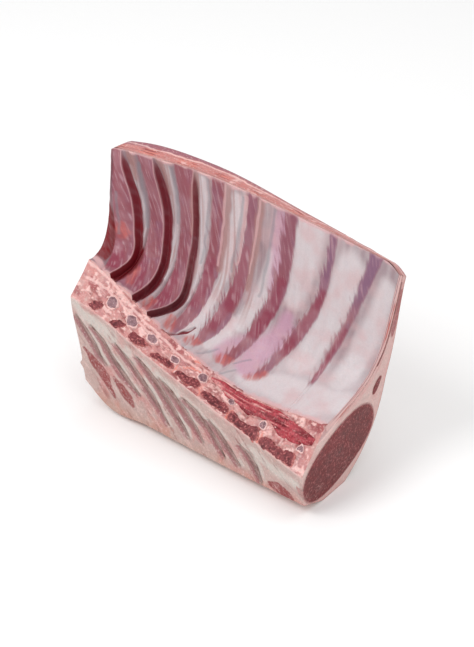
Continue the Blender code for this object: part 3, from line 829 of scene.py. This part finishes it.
# What shows in the sawn chine, as paths of (run, share from the middle face in, half-width in mm).
CHINE_CREAM = (
    ((0.000, 0.55, 3.5), (0.025, 0.76, 5.0), (0.060, 0.90, 3.4), (0.085, 0.88, 1.2)),
    ((0.000, 0.12, 2.6), (0.060, 0.00, 2.6), (0.150, -0.02, 2.6), (0.220, -0.05, 1.4)),
    ((0.230, -0.06, 1.0), (0.400, -0.08, 1.6), (0.520, -0.08, 1.0)),
)
CHINE_CARTILAGE = (
    ((0.630, 0.70, 0.4), (0.669, 0.53, 0.9), (0.690, 0.40, 0.9), (0.707, 0.37, 0.9), (0.739, 0.40, 1.0),
     (0.779, 0.56, 1.2), (0.815, 0.50, 1.0), (0.848, 0.33, 0.9), (0.877, 0.27, 1.0), (0.911, 0.33, 1.2),
     (0.947, 0.46, 1.2), (0.980, 0.42, 0.9)),
    ((0.945, 0.45, 1.0), (0.952, 0.20, 1.4), (0.958, 0.02, 1.2)),
    ((0.870, 0.94, 0.7), (0.900, 0.85, 1.0), (0.935, 0.88, 1.2), (0.945, 0.98, 0.5)),
)
CHINE_SEAMS = (
    ((0.667, 0.36, 0.4), (0.660, 0.18, 0.6), (0.667, -0.01, 0.4)),
    ((0.800, 0.36, 0.4), (0.801, 0.18, 0.6), (0.800, -0.03, 0.4)),
    ((0.541, 0.42, 0.4), (0.537, 0.24, 0.5), (0.545, 0.08, 0.3)),
    ((0.430, 0.44, 0.3), (0.436, 0.30, 0.5), (0.430, 0.15, 0.3)),
    ((0.449, 0.50, 0.4), (0.462, 0.66, 0.6), (0.500, 0.76, 0.3)),
    ((0.440, 0.98, 1.0), (0.462, 1.00, 1.6), (0.480, 1.00, 0.6)),
    ((0.610, 0.74, 0.4), (0.640, 0.80, 0.7), (0.690, 0.84, 0.3)),
)
# CHINE_RIDGE: thin painted highlights where light catches the ridges of the sawn chine.
CHINE_RIDGE = (
    ((0.00, 0.95, 0.3), (0.06, 0.98, 0.6), (0.10, 0.97, 0.6), (0.17, 0.89, 0.5), (0.21, 0.86, 0.5),
     (0.25, 0.80, 0.4), (0.30, 0.82, 0.6), (0.36, 0.80, 0.5), (0.42, 0.74, 0.4), (0.50, 0.80, 0.3)),
    ((0.02, 0.62, 0.3), (0.10, 0.72, 0.4), (0.18, 0.70, 0.3), (0.26, 0.66, 0.4), (0.34, 0.68, 0.3)),
)
CHINE_RED = (
    ((0.036, 0.66, 0.8), (0.052, 0.58, 2.4), (0.070, 0.54, 0.8)),
    ((0.000, 0.26, 1.0), (0.010, 0.20, 1.5), (0.022, 0.16, 0.6)),
    ((0.095, 0.68, 0.5), (0.108, 0.74, 0.9), (0.118, 0.70, 0.4)),
    ((0.944, 0.97, 0.8), (0.970, 0.95, 1.8), (0.990, 0.90, 1.2)),
    ((0.948, 0.62, 0.6), (0.965, 0.66, 1.6), (0.980, 0.62, 0.8)),
    ((0.360, 0.90, 0.6), (0.400, 0.88, 1.2), (0.430, 0.92, 0.6)),
    ((0.440, 0.08, 0.5), (0.500, 0.06, 0.9), (0.540, 0.06, 0.5)),
)
CHINE_WIDTH = 21.0


def stretch_points(run, name, f):
    """Points of one stretch of the outline: (across, height) and the outward direction."""
    if name == "toe":
        flat, ahead = line(corner("toe", run), corner("median_foot", run), f)
    elif name == "median":
        flat, ahead = line(corner("median_foot", run), corner("chine_outer", run), f)
    elif name == "chine":
        flat, ahead = line(corner("chine_outer", run), corner("chine_inner", run), f)
    elif name == "bed":
        flat = lining(run, f, -RECESS * smooth(f * 12))
        ahead = np.zeros(flat.shape) + (0, 1)
    elif name == "rim":
        flat, ahead = line(lining(run, np.ones(f.shape), np.full(f.shape, -0.2)), corner("rim_outer", run), f)
        flat = flat - turned(ahead) * 0.2 * smooth((1 - f) * 8)[..., None]
    elif name == "back":
        flat, ahead = curve(("rim_outer", "back_pull", "belly_pull", "heel"), run, f)
    else:
        flat, ahead = line(corner("heel", run), corner("toe", run), f)
    return flat, -turned(ahead)


def drawn(spot, paths, soft, across=1.0, up=1.0):
    """1 on any of the paths, whose corners are scaled to millimetres."""
    marks = np.zeros(spot.shape[:-1])
    for path in paths:
        marks = np.maximum(marks, trail(spot, [(x * across, y * up, half) for x, y, half in path], soft))
    return marks


def median_masks(along, height):
    """The sawn middle face: fat, the spines' sawn edges, meat caught between them, and a painted highlight beside each
    spine.
    """
    spot = np.stack((along, height), -1)
    moved = stirred(spot, 6, 0.7, 33)
    # The grain of the face slopes down towards the loin, as the spines do.
    sloped = np.stack((along + height, (along - height) / 7), -1)
    grain = rough(sloped, 2.2, 35)
    clouds = rough(spot, 10, 31)
    marbling = veins(np.stack((along + height, (along - height) / 3), -1), 2.6, 37, 0.2)
    # A painted highlight beside each spine, a little towards the loin and above it.
    shifted = moved - (2.3, 1.5)
    beneath = moved + (1.9, 1.3)
    highlight_beside = drawn(shifted, SPINES, 1.6)
    blood = drawn(beneath, SPINES, 1.0)
    meat = drawn(moved, FACE_MEAT, 1.0)
    masks = {
        "white": np.maximum(
            np.maximum(drawn(moved, FACE_WHITE, 3.5) * 0.85, highlight_beside * 0.75), smooth(grain * 1.6 - 0.25) * 0.5
        ),
        "salmon": smooth(clouds * 1.6 - 0.1) * 0.6 + 0.5 * smooth((along + 62) / 14) * smooth((13 - height) / 5) + 0.15 * smooth(grain * 2),
        "peach": smooth((15 - height) / 14 + clouds * 0.5) * 0.6,
        "grey": drawn(moved, SPINES, 1.5) * 0.55 + smooth(-grain * 1.6 - 0.5) * 0.25,
        "purple": np.maximum(blood * 0.55, meat * 0.25),
        "red": np.maximum.reduce((meat * (0.95 - 0.35 * marbling), blood * 0.3, smooth(-grain * 2.4 - 0.9) * 0.45)),
        "coral": smooth(rough(spot, 4, 39) * 2.4 - 1.3) * 0.3,
        "line": np.maximum(smooth((height - by_spine(along) + 2.2) / 2.2) * 0.5, smooth(grain * 2.6 - 1.1) * 0.35),
    }
    return masks


def by_spine(along):
    """The height of the edge between the middle face and the chine, by the place along."""
    return np.interp(along, (-170, -155, -120, -61, 0), (73, 71, 59, 41.5, 30))


def chine_masks(run, share):
    """The sawn chine: wet pink tissue, cream fat, cartilage and seams between the bones, with thin painted highlights
    along its ridges.
    """
    spot = at_mm(run, share, CHINE_WIDTH)
    moved = stirred(spot, 3, 0.6, 43)
    scale = {"across": LENGTH, "up": CHINE_WIDTH}
    clouds = rough(spot, 6, 45)
    threads = veins(spot * (0.35, 1.0), 2.6, 47, 0.16) * smooth(rough(spot, 4, 48) * 2 + 0.3)
    fine = smooth(rough(spot * (0.7, 1.0), 2.4, 49) * 2.6 - 0.2)
    wet = smooth(rough(spot * (0.6, 1.0), 4.5, 50) * 2.2 - 0.1)
    pale = smooth(rough(spot * (0.8, 1.0), 2.0, 52) * 3 - 0.5)
    return {
        "white": np.maximum(drawn(moved, CHINE_CREAM, 2.2, **scale) * 0.9, drawn(moved, CHINE_CARTILAGE, 0.6, **scale)),
        "salmon": 0.9 * smooth(clouds + 1.2),
        "peach": pale * 0.3,
        "purple": wet * 0.35,
        "red": fine * 0.8 * (1 - drawn(moved, CHINE_CREAM, 2.2, **scale)),
        "grey": drawn(moved, CHINE_CARTILAGE, 0.2, **scale) * smooth(rough(spot, 2.5, 53) * 2 - 0.2) * 0.5,
        "crimson": drawn(moved, CHINE_RED, 1.0, **scale) * 0.75,
        "coral": np.maximum(drawn(moved, CHINE_SEAMS, 0.5, **scale) * 0.9, smooth(clouds * 2 - 0.8) * 0.35),
        # Pale threads and flecks, and painted highlights along the ridges.
        "line": np.maximum.reduce((threads * 0.6, pale * 0.85, drawn(moved, CHINE_RIDGE, 0.8, **scale) * 0.7)) * 0.9 + 0.1,
    }


def rim_masks(run, f):
    """The trimmed rim: bone ends in cream fat, red muscle ends between them, then film and a purple edge; painted
    highlights are scattered over it.
    """
    spot = at_mm(run, f, 13.0)
    streaks = rough(spot / (8, 0.9), 1.0, 55)
    thin = lumps(spot / (5, 0.5), 1.0, 56)
    muscle = np.zeros(run.shape)
    for left, right, _ in INTERCOSTALS:
        a, b = left[-1] - 0.004, right[-1] + 0.012
        muscle = np.maximum(muscle, smooth((run - a) * LENGTH / 2.0) * smooth((b - run) * LENGTH / 4.0))
    wander = rough(np.stack((run * LENGTH / 7, f * 2), -1), 1.0, 58) * 0.22
    patch = smooth((0.62 - f + wander) * 7) * smooth((f - 0.05 + wander * 0.6) * 9)
    left_end = smooth(1.5 - run * 2.0)
    outer = smooth((f - 0.66 + 0.26 * smooth(1 - run * 4) + wander * 0.6) * 7)
    # Painted highlights: small bright spots on the wet rim.
    glint = smooth(rough(np.stack((run * LENGTH / 5, f * 5), -1), 1.0, 57) * 3 - 1.1)
    return {
        "white": smooth(streaks * 2 - 0.6) * 0.4,
        "salmon": 0.9 + 0 * run,
        "coral": patch * (0.25 + 0.35 * muscle) * smooth(0.7 - thin),
        "red": patch * (0.25 + 0.75 * muscle) * smooth(thin * 2 + streaks * 1.5 + 0.5 * muscle) * 0.9,
        "purple": outer * (0.30 + 0.65 * left_end) * smooth(1.15 - 0.4 * streaks + 0.3 * thin),
        "grey": smooth((f - 0.95) * 20) * 0.4,
        "line": np.maximum.reduce(
            (
                smooth((0.07 + wander * 0.3 - f) * 16) * 0.75,
                smooth(1 - np.abs(f - 0.64 + wander * 0.6) * 12) * 0.8,
                glint * 0.6,
            )
        ),
    }


def back_masks(run, f, flat):
    """The outside of the rack: a smooth fat cover with thin spots where meat shows, and dry film near the rim."""
    spot = np.stack((run * LENGTH, flat[..., 0] + flat[..., 1]), -1)
    clouds = rough(spot, 14, 61)
    streaks = rough(spot * (1, 0.35), 5, 63)
    return {
        "white": smooth(streaks * 1.5 + 0.1) * 0.6,
        "salmon": smooth(clouds * 1.8 - 0.2) * 0.5,
        "peach": smooth(rough(spot, 9, 65) * 1.6 - 0.3) * 0.3,
        "purple": smooth(0.16 - f * 1.6 + 0.1 * clouds) * 3 * smooth(1.3 - run) * 0.3 + smooth(clouds * 2.6 - 1.6) * 0.5,
        "red": smooth(rough(spot * (0.5, 1), 4, 67) * 2.4 - 1.5) * 0.35,
        "grey": smooth(0.04 - f * 1.2) * 4 * 0.3,
        "line": veins(spot * (0.5, 1), 7, 69, 0.06) * 0.35,
    }


def body_strip(name, f):
    """One stretch of the body: its rows and its masks."""
    r = np.repeat(RUNS[:, None], len(f), 1)
    f = np.repeat(f[None], COLUMNS, 0)
    flat, out = stretch_points(r, name, f)
    spot = np.stack((r * LENGTH, flat[..., 0], flat[..., 1]), -1)
    masks = {n: np.zeros(r.shape) for n in FAT_MASKS}
    ease = smooth(f * 9) * smooth((1 - f) * 9) * smooth(r * 40) * smooth((1 - r) * 40)
    relief = np.zeros(r.shape)
    if name in ("toe", "median"):
        along = place(r, flat)[..., 0] / MM + BOX_MIDDLE_ALONG
        if name == "median":
            sloped = np.stack((along + flat[..., 1], (along - flat[..., 1]) / 6), -1)
            relief = rough(spot, 10, 71) * 0.3 + rough(sloped, 2.6, 73) * 0.35 - 0.35
            relief = relief - 0.5 * drawn(np.stack((along, flat[..., 1]), -1), SPINES, 1.5)
        masks |= median_masks(along, flat[..., 1])
    elif name == "chine":
        masks |= chine_masks(r, f)
        plan = at_mm(r, f, CHINE_WIDTH)
        relief = rough(plan, 4, 75) * 0.6 + masks["line"] * 0.35 - masks["red"] * 0.5 - masks["purple"] * 0.4 - 0.45
    elif name == "rim":
        masks |= rim_masks(r, f)
        relief = rough(np.stack((r * LENGTH / 5, f * 4), -1), 1.2, 77) * 0.5 + masks["line"] * 0.25
        relief = np.clip(relief, 0, 0.55)
    elif name == "back":
        masks |= back_masks(r, f, flat)
        relief = (rough(spot, 16, 79) - 0.6) * 0.8
    elif name == "bed":
        masks["red"] = masks["red"] + 0.8
    return place(r, flat + out * (relief * ease)[..., None]), masks


def make_body():
    """The body is skinned in two pieces, which meet under the ribs and beneath the rack."""
    for tag, stretches in (("front", FRONT), ("rear", REAR)):
        strips = []
        for k, (name, count) in enumerate(stretches):
            f = np.linspace(0, 1, count)
            if name == "bed":
                f = f * BED_SPLIT if tag == "front" else BED_SPLIT + f * (1 - BED_SPLIT)
            strips.append(body_strip(name, f[1:] if k else f))
        rows = np.concatenate([s[0] for s in strips], 1)
        masks = {n: np.concatenate([s[1][n] for s in strips], 1) for n in FAT_MASKS}
        mesh_piece(f"fat_cover_{tag}", rows, masks, FAT, ["fat_cover"], around=False)


make_body()

# Layers in the loin's cut face, as paths of (across, height, half-width in mm).
LOIN_WEDGE = (((2, 47.6, 0.6), (10, 47.4, 1.8), (18, 49.4, 2.0), (26, 52.6, 1.4), (34, 57.5, 0.4)),)
LOIN_OUTER = (((73.0, 84, 0.8), (73.4, 96, 2.4), (73.6, 106, 2.4), (74.0, 117, 0.8)),)
LOIN_WARM = (((55, 66, 0.8), (62, 76, 1.8), (68, 88, 2.2), (70, 100, 1.8), (71, 116, 1.4), (70, 128, 0.8)),)
LOIN_THREADS = (
    ((8, 44.5, 0.2), (20, 46.2, 0.5), (29, 50.5, 0.5), (36, 57.0, 0.2)),
    ((38, 60, 0.2), (50, 65, 0.5), (60, 75, 0.5), (65, 90, 0.4), (68, 105, 0.2)),
)


SHOULDER_SEAMS = (
    ((6, 66, 0.3), (20, 64, 0.5), (34, 62, 0.4), (48, 66, 0.3)),
    ((10, 22, 0.3), (8, 40, 0.4), (16, 56, 0.5), (32, 60, 0.3)),
    ((64, 92, 0.3), (70, 78, 0.5), (74, 60, 0.4), (68, 44, 0.3)),
)


def make_face(name, run_end, count=240, layers=90):
    """A cut across the rack, filled from its inner edge (chine and lining) to its outer edge."""
    s = np.linspace(0, 1, count)
    r = np.full(count, float(run_end))
    inner = np.where(
        (s < 0.22)[:, None],
        line(corner("chine_outer", r), corner("chine_inner", r), np.clip(s / 0.22, 0, 1))[0],
        lining(r, np.clip((s - 0.22) / 0.78, 0, 1), -0.25 + 0 * r),
    )
    outer = np.where(
        (s < 0.2)[:, None],
        np.where(
            (s < 0.1)[:, None],
            line(corner("median_foot", r), corner("toe", r), np.clip(s / 0.1, 0, 1))[0],
            line(corner("toe", r), corner("heel", r), np.clip((s - 0.1) / 0.1, 0, 1))[0],
        ),
        curve(("heel", "belly_pull", "back_pull", "rim_outer"), r, np.clip((s - 0.2) / 0.8, 0, 1))[0],
    )
    q = np.linspace(0, 1, layers)[None, :, None]
    flat = inner[:, None] * (1 - q) + outer[:, None] * q
    inset = FACE_INSET if run_end == 0 else -FACE_INSET
    rows = place(np.full(flat.shape[:2], run_end + inset), flat)
    moved = stirred(flat, 4, 0.5, 83)
    rim = np.linalg.norm(flat - outer[:, None], axis=-1)
    masks = {n: np.zeros(rows.shape[:2]) for n in FAT_MASKS}
    masks["salmon"] = smooth(rough(flat, 8, 81) * 1.5 + 0.1) * 0.4 + smooth(1.6 - rim / 2.5) * 0.4
    masks["white"] = smooth(rough(flat, 6, 85) * 1.5) * 0.45
    # Near the lining the cut runs through layers of film, red muscle and fat, drawn out up the flank.
    deep = np.linalg.norm(flat - inner[:, None], axis=-1)
    up = flat[..., 1]
    layer = lumps(np.stack((deep / 1.3, up / 14), -1), 1.0, 87)
    reach = 8 + 4 * smooth((78 - up) / 12)
    strip = smooth((reach - deep) / 3) * smooth((up - 47) / 6) * run_end
    masks["salmon"] = masks["salmon"] + strip * 0.6
    masks["purple"] = drawn(moved, LOIN_WEDGE, 0.8) * 0.8 * run_end
    masks["red"] = np.maximum(strip * smooth(layer * 3 - 0.3) * 0.9, drawn(moved, LOIN_WEDGE, 0.3) * 0.3 * run_end)
    masks["crimson"] = drawn(moved, LOIN_OUTER, 1.2) * 0.85 * run_end
    masks["coral"] = drawn(moved, LOIN_WARM, 2.0) * 0.7 * smooth(0.8 - layer) * run_end + smooth(1.4 - rim / 1.2) * 0.2
    masks["line"] = np.maximum(drawn(moved, LOIN_THREADS if run_end else SHOULDER_SEAMS, 0.6) * 0.8, strip * smooth(-layer * 3 - 0.8) * 0.8)
    # Painted light: the loin face is painted paler all over, away from the crimson strip, to make up for the key light
    # falling away from it.
    masks["line"] = np.maximum(masks["line"], 0.45 * run_end * smooth(1.2 + rough(flat, 5, 89)) * (1 - masks["crimson"]))
    if run_end == 1:
        rows = rows[:, ::-1]
        masks = {n: m[:, ::-1] for n, m in masks.items()}
    return mesh_piece(name, rows, masks, FAT, ["fat_cover"], around=False)


make_face("loin_face", 1)
make_face("shoulder_face", 0)

# ---------------------------------------------------------------- the eye and the side muscle

EYE = {
    "middle": ((35, 40), (36, 38), (37, 32), (37, 24), (31.5, 25.6)),
    "half": ((26, 17), (26, 17), (27, 16.5), (28, 16), (34.5, 19.3)),
    "tilt": ((38,), (36,), (24,), (12,), (20,)),
    "corners": 2.3,
    "sides": 160,
}
SIDE_MUSCLE = {
    "middle": ((63, 70), (64, 68), (66, 62), (67, 55), (65.5, 53)),
    "half": ((6.5, 3.0), (6.5, 3.0), (6.5, 3.0), (6.2, 2.8), (6.0, 2.6)),
    "tilt": ((72,), (72,), (70,), (66,), (58,)),
    "corners": 2.2,
    "sides": 60,
}
CAP_SHARES = np.concatenate(([1.0, 0.99, 0.975, 0.955, 0.93], np.linspace(0.9, 0.03, 50)))


def make_through_muscle(name, spec):
    """A muscle that runs the whole length and shows its grain at both cuts."""
    runs = np.linspace(0, 1, 12)
    angle = -np.linspace(0, 2 * math.pi, spec["sides"], endpoint=False)
    blunt = np.stack([np.sign(f) * np.abs(f) ** (2 / spec["corners"]) for f in (np.cos(angle), np.sin(angle))], -1)
    rows = []
    for run in runs:
        middle, half, tilt = (between(spec[n], run) for n in ("middle", "half", "tilt"))
        tilt = math.radians(tilt[0])
        turn = np.array(((math.cos(tilt), -math.sin(tilt)), (math.sin(tilt), math.cos(tilt))))
        flat = middle + (half * blunt) @ turn.T
        rows.append(place(np.full(len(flat), run), flat))
    rows, _ = capped(np.array(rows), {}, shares=CAP_SHARES)
    share = np.concatenate((CAP_SHARES[::-1], np.ones(len(runs)), CAP_SHARES))[:, None]
    spot = rows[..., 1:] / MM
    height = spot[..., 1]
    masks = {
        "rim": smooth((share - 0.965) * 50) * 0.8 + 0 * height,
        "bright": smooth((share - 0.8) * 5) * 0.35 + smooth(rough(spot, 9, 91) * 1.6 + (height - 30) / 30) * 0.5,
        "marbling": veins(spot, 6, 93, 0.05) * 0.6 * smooth((20 - height) / 8 + 0.3),
    }
    mesh_piece(name, rows, masks, LEAN, [name])


make_through_muscle("loin_eye", EYE)
make_through_muscle("side_muscle", SIDE_MUSCLE)


def make_flank_muscle():
    """The thin muscle between the ribs and the fat, which shows as a dark line at the cuts."""
    runs = np.linspace(0, 1, 60)
    t = np.linspace(5 / 12 + 0.022, 0.97, 60)
    r = np.repeat(runs[:, None], len(t), 1)
    tt = np.repeat(t[None], len(runs), 0)
    far = RECESS + FLANK_MUSCLE[0] * (1 - r) + FLANK_MUSCLE[1] * r
    face = place(r, lining(r, tt, np.full(r.shape, -RECESS - 0.1)))
    back = place(r, lining(r, tt, -far))[:, ::-1]
    rows = np.concatenate((face, back), 1)
    masks = {"rim": np.full(rows.shape[:2], 0.35), "bright": np.ones(rows.shape[:2]), "marbling": np.zeros(rows.shape[:2])}
    mesh_piece("flank_muscle", rows, masks, LEAN, ["flank_muscle"])


make_flank_muscle()

# ---------------------------------------------------------------- chine and spines

# Sawn marrow blocks, as outlines of (run, share from the middle face in).
MARROW_BLOCKS = (
    ((0.073, 0.09), (0.090, 0.25), (0.118, 0.34), (0.121, 0.21), (0.098, 0.03)),
    ((0.169, 0.04), (0.184, 0.26), (0.213, 0.36), (0.219, 0.25), (0.198, 0.05)),
    ((0.242, 0.19), (0.257, 0.33), (0.298, 0.38), (0.313, 0.28), (0.283, 0.11), (0.257, 0.07)),
    ((0.338, 0.17), (0.352, 0.31), (0.377, 0.35), (0.403, 0.43), (0.425, 0.25), (0.399, 0.15), (0.373, 0.12),
     (0.352, 0.09)),
    ((0.441, 0.16), (0.449, 0.34), (0.480, 0.36), (0.516, 0.44), (0.531, 0.22), (0.487, 0.12), (0.461, 0.09)),
    ((0.548, 0.17), (0.550, 0.31), (0.574, 0.35), (0.609, 0.38), (0.636, 0.39), (0.654, 0.29), (0.654, 0.12),
     (0.614, 0.10), (0.578, 0.09)),
    ((0.671, 0.06), (0.669, 0.33), (0.690, 0.34), (0.708, 0.28), (0.729, 0.27), (0.752, 0.30), (0.779, 0.38),
     (0.793, 0.24), (0.793, 0.02), (0.755, 0.00), (0.708, 0.03)),
    ((0.807, 0.02), (0.808, 0.20), (0.822, 0.30), (0.853, 0.25), (0.888, 0.24), (0.915, 0.27), (0.938, 0.30),
     (0.945, 0.18), (0.945, 0.02), (0.890, 0.00), (0.848, 0.01)),
)
# Sawn rib heads: run, share in, half-width in mm.
RIB_HEADS = (
    (0.143, 0.53, 3.7),
    (0.226, 0.54, 4.0),
    (0.312, 0.55, 3.6),
    (0.411, 0.52, 3.2),
    (0.519, 0.62, 3.6),
    (0.649, 0.53, 2.3),
    (0.792, 0.47, 2.7),
    (0.952, 0.44, 2.2),
)
RING_SHARES = np.concatenate((np.linspace(0.02, 0.8, 16), (0.86, 0.91, 0.95, 0.98, 1.0, 1.03, 1.06)))


def chine_at(run, share, rise):
    """A place on the sawn chine, raised off it."""
    flat, ahead = line(corner("chine_outer", run), corner("chine_inner", run), share)
    return place(run, flat - turned(ahead) * np.asarray(rise)[..., None])


def rounded(outline, sides):
    """A closed curve through an outline's corners."""
    points = np.asarray(outline, float)
    spot = np.linspace(0, len(points), sides, endpoint=False)
    k = spot.astype(int)
    f = (spot - k)[:, None]
    a, b, c, d = (points[(k + step) % len(points)] for step in (-1, 0, 1, 2))
    return b + 0.5 * f * (c - a + f * (2 * a - 5 * b + 4 * c - d + f * (3 * (b - c) + d - a)))


def make_pad(name, edge, seed, material, rim, rise):
    """A bone end let into the sawn chine: an uneven low pad, with a rim of this width in shares."""
    middle = edge.mean(axis=0)
    share = RING_SHARES[:, None] + np.zeros((1, len(edge)))
    plan = middle + (edge - middle)[None] * share[..., None]
    spot = plan * (LENGTH, CHINE_WIDTH)
    sway = np.stack((rough(spot, 2.6, seed), rough(spot, 2.6, seed + 1)), -1)
    plan = plan + sway * (1.1 / LENGTH, 1.1 / CHINE_WIDTH) * smooth(share * 2)[..., None]
    bumps = rough(spot, 1.3, seed + 3) * 0.25 * smooth((1 - share) * 6)
    lift = rise * smooth((1.02 - share) * 14) - 1.2 * smooth((share - 0.99) / 0.07) + bumps
    masks = {
        "rim": smooth((share - 1 + rim) / 0.07),
        "dark": smooth(rough(spot, 2.2, seed + 5) * 2.4) * 0.7 * smooth((1 - share) * 5),
    }
    mesh_piece(name, chine_at(plan[..., 0], plan[..., 1], lift), masks, material, [name])


def make_chine():
    for k, outline in enumerate(MARROW_BLOCKS):
        make_pad(f"chine_bone_{k + 1}", rounded(outline, 96), 100 + 7 * k, MARROW, 0.08, 0.1)
    turn = np.linspace(0, 2 * math.pi, 64, endpoint=False)
    for k, (run, share, half) in enumerate(RIB_HEADS):
        edge = np.stack((run - np.cos(turn) * half / LENGTH, share + np.sin(turn) * half / CHINE_WIDTH), -1)
        make_pad(f"rib_head_{k + 2}", edge, 200 + 7 * k, CARTILAGE, 0.26, 0.35)


make_chine()


def make_spines():
    """Each spine shows as a long thin leaf in the middle face."""
    f = np.linspace(0, 1, 70)
    side = np.linspace(-1, 1, 11)[None]
    for k, path in enumerate(SPINES):
        path = np.array(path, float)
        knots = np.linspace(0, 1, len(path))
        centre = np.stack([np.interp(f, knots, path[:, axis]) for axis in range(2)], -1)
        centre[1:-1] = (centre[:-2] + 2 * centre[1:-1] + centre[2:]) / 4
        half = np.interp(f, knots, path[:, 2]) * (1 + 0.2 * lumps(centre, 4, 300 + k))
        ahead = unit(np.gradient(centre, axis=0))
        plan = centre[:, None] + turned(ahead)[:, None] * (side * half[:, None])[..., None]
        along, height = plan[..., 0], plan[..., 1]
        rise = -0.35 - 0.25 * np.abs(side) ** 3 + 0 * along
        rise[:, [0, -1]] = -1.4
        rise[[0, -1]] = -1.4
        run = (along + 170 - 2 * (height - 14) / 70) / 170
        middle_face = np.interp(run, STATION_RUNS, (0, 0, 0, 0, -3))
        across = middle_face * np.clip(height / np.maximum(by_spine(along), 1), 0, 1) - rise
        rows = np.stack((along - BOX_MIDDLE_ALONG, across - BOX_MIDDLE_ACROSS, height), -1) * MM
        spot = np.stack((along + height, (along - height) / 5), -1)
        masks = {
            # A pale painted highlight along one side of the leaf.
            "rim": smooth(-side * 1.6 - 0.5) * 0.7 + 0 * along,
            "blood": smooth(side * 1.6 - 0.2) * smooth(lumps(centre, 9, 350 + k) + 0.9)[:, None] * 0.8,
            "dark": smooth(rough(spot, 1.6, 360 + k) * 1.6 + 0.3) * 0.7,
        }
        mesh_piece(f"feather_bone_{k + 1}", rows, masks, SPINE, [f"feather_bone_{k + 1}"], around=False)


make_spines()

TORN_LOW = (
    (0.540, 0.80), (0.560, 0.73), (0.585, 0.70), (0.620, 0.58), (0.660, 0.62), (0.690, 0.52), (0.720, 0.49),
    (0.760, 0.60), (0.805, 0.62), (0.858, 0.42), (0.890, 0.44), (0.920, 0.45), (0.985, 0.58),
)
TORN_HIGH = ((0.540, 0.86), (0.585, 0.98), (0.650, 0.985), (0.820, 0.965), (0.870, 0.88), (0.925, 0.79), (0.985, 0.72))


def make_chine_muscle():
    """The long torn muscle beside the spine, in wet strands that run with the rack."""
    runs = np.linspace(0.54, 0.985, 260)
    f = np.linspace(0, 1, 44)
    low, high = (np.interp(runs, *np.array(edge).T) for edge in (TORN_LOW, TORN_HIGH))
    r = np.repeat(runs[:, None], len(f), 1)
    share = low[:, None] + (high - low)[:, None] * f
    spot = at_mm(r, share, CHINE_WIDTH)
    strand = lumps(np.stack((spot[..., 0] / 9, spot[..., 1] / 1.1), -1), 1.0, 401)
    thin = lumps(np.stack((spot[..., 0] / 6, spot[..., 1] / 0.6), -1), 1.0, 403)
    clots = rough(spot, 2.0, 405)
    ends = np.clip((runs - 0.54) / 0.03, 0, 1) * np.clip((0.985 - runs) / 0.02, 0, 1)
    swell = ends[:, None] ** 0.5 * np.sin(math.pi * np.clip(f, 0.02, 0.98)) ** 0.5
    rise = -0.5 + swell * (1.3 + 0.45 * strand + 0.2 * thin + 0.3 * clots)
    rise[:, [0, -1]] = -0.9
    top = chine_at(r, share, rise)
    under = chine_at(r[:, [0, -1]], share[:, [-1, 0]], np.full((len(runs), 2), -1.5))
    masks = {
        "pale": np.maximum(smooth(strand * 2.2 - 0.9), smooth(thin * 2 - 1.0)) * 0.85,
        "dark": smooth(-strand * 2.0 - 0.3) * 0.8 + smooth(-clots * 2.5 - 0.8) * 0.4,
    }
    masks = {n: np.concatenate((m, m[:, :2]), 1) for n, m in masks.items()}
    mesh_piece("chine_muscle", np.concatenate((top, under), 1), masks, SHREDS, ["chine_muscle"])


make_chine_muscle()

# ---------------------------------------------------------------- floor, light and camera

def make_studio():
    bpy.ops.mesh.primitive_plane_add(size=6)
    floor = bpy.context.object
    floor.name = "floor"
    material = bpy.data.materials.new("white_board")
    material.use_nodes = True
    shader = material.node_tree.nodes["Principled BSDF"]
    shader.inputs["Base Color"].default_value = linear("#ffffff")
    shader.inputs["Roughness"].default_value = 0.9
    floor.data.materials.append(material)
    world = bpy.data.worlds.new("studio")
    scene.world = world
    world.use_nodes = True
    background = world.node_tree.nodes["Background"]
    background.inputs["Color"].default_value = (1, 1, 1, 1)
    background.inputs["Strength"].default_value = 0.58
    for name, spot, size, watts in (
        ("key", (-0.5, -0.9, 1.3), 0.7, 10),
        ("fill", (1.1, -0.6, 0.9), 1.2, 2.5),
        ("top", (0.1, 0.3, 1.5), 1.4, 6.5),
    ):
        light = bpy.data.lights.new(name, "AREA")
        light.size = size
        light.energy = watts
        obj = bpy.data.objects.new(name, light)
        obj.location = spot
        obj.rotation_euler = (-Vector(spot)).to_track_quat("-Z", "Y").to_euler()
        scene.collection.objects.link(obj)


def make_camera():
    """The camera stands to the right of the sawn middle and looks down on the rack."""
    azimuth, elevation = math.radians(39.3), math.radians(35)
    distance, right_shift, up_shift = 0.8393, -0.0368, 0.1
    back = Vector((math.sin(azimuth) * math.cos(elevation), -math.cos(azimuth) * math.cos(elevation), math.sin(elevation)))
    right = Vector((math.cos(azimuth), math.sin(azimuth), 0))
    up = back.cross(right)
    anchor = Vector((-BOX_MIDDLE_ALONG, -BOX_MIDDLE_ACROSS, 8.4)) * MM
    camera = bpy.data.objects.new("camera", bpy.data.cameras.new("camera"))
    camera.data.lens = 85
    camera.location = anchor + back * distance + right * right_shift + up * up_shift
    camera.rotation_euler = Euler((math.pi / 2 - elevation, 0, azimuth))
    scene.collection.objects.link(camera)
    scene.camera = camera
    scene.view_settings.view_transform = "Standard"


make_studio()
make_camera()
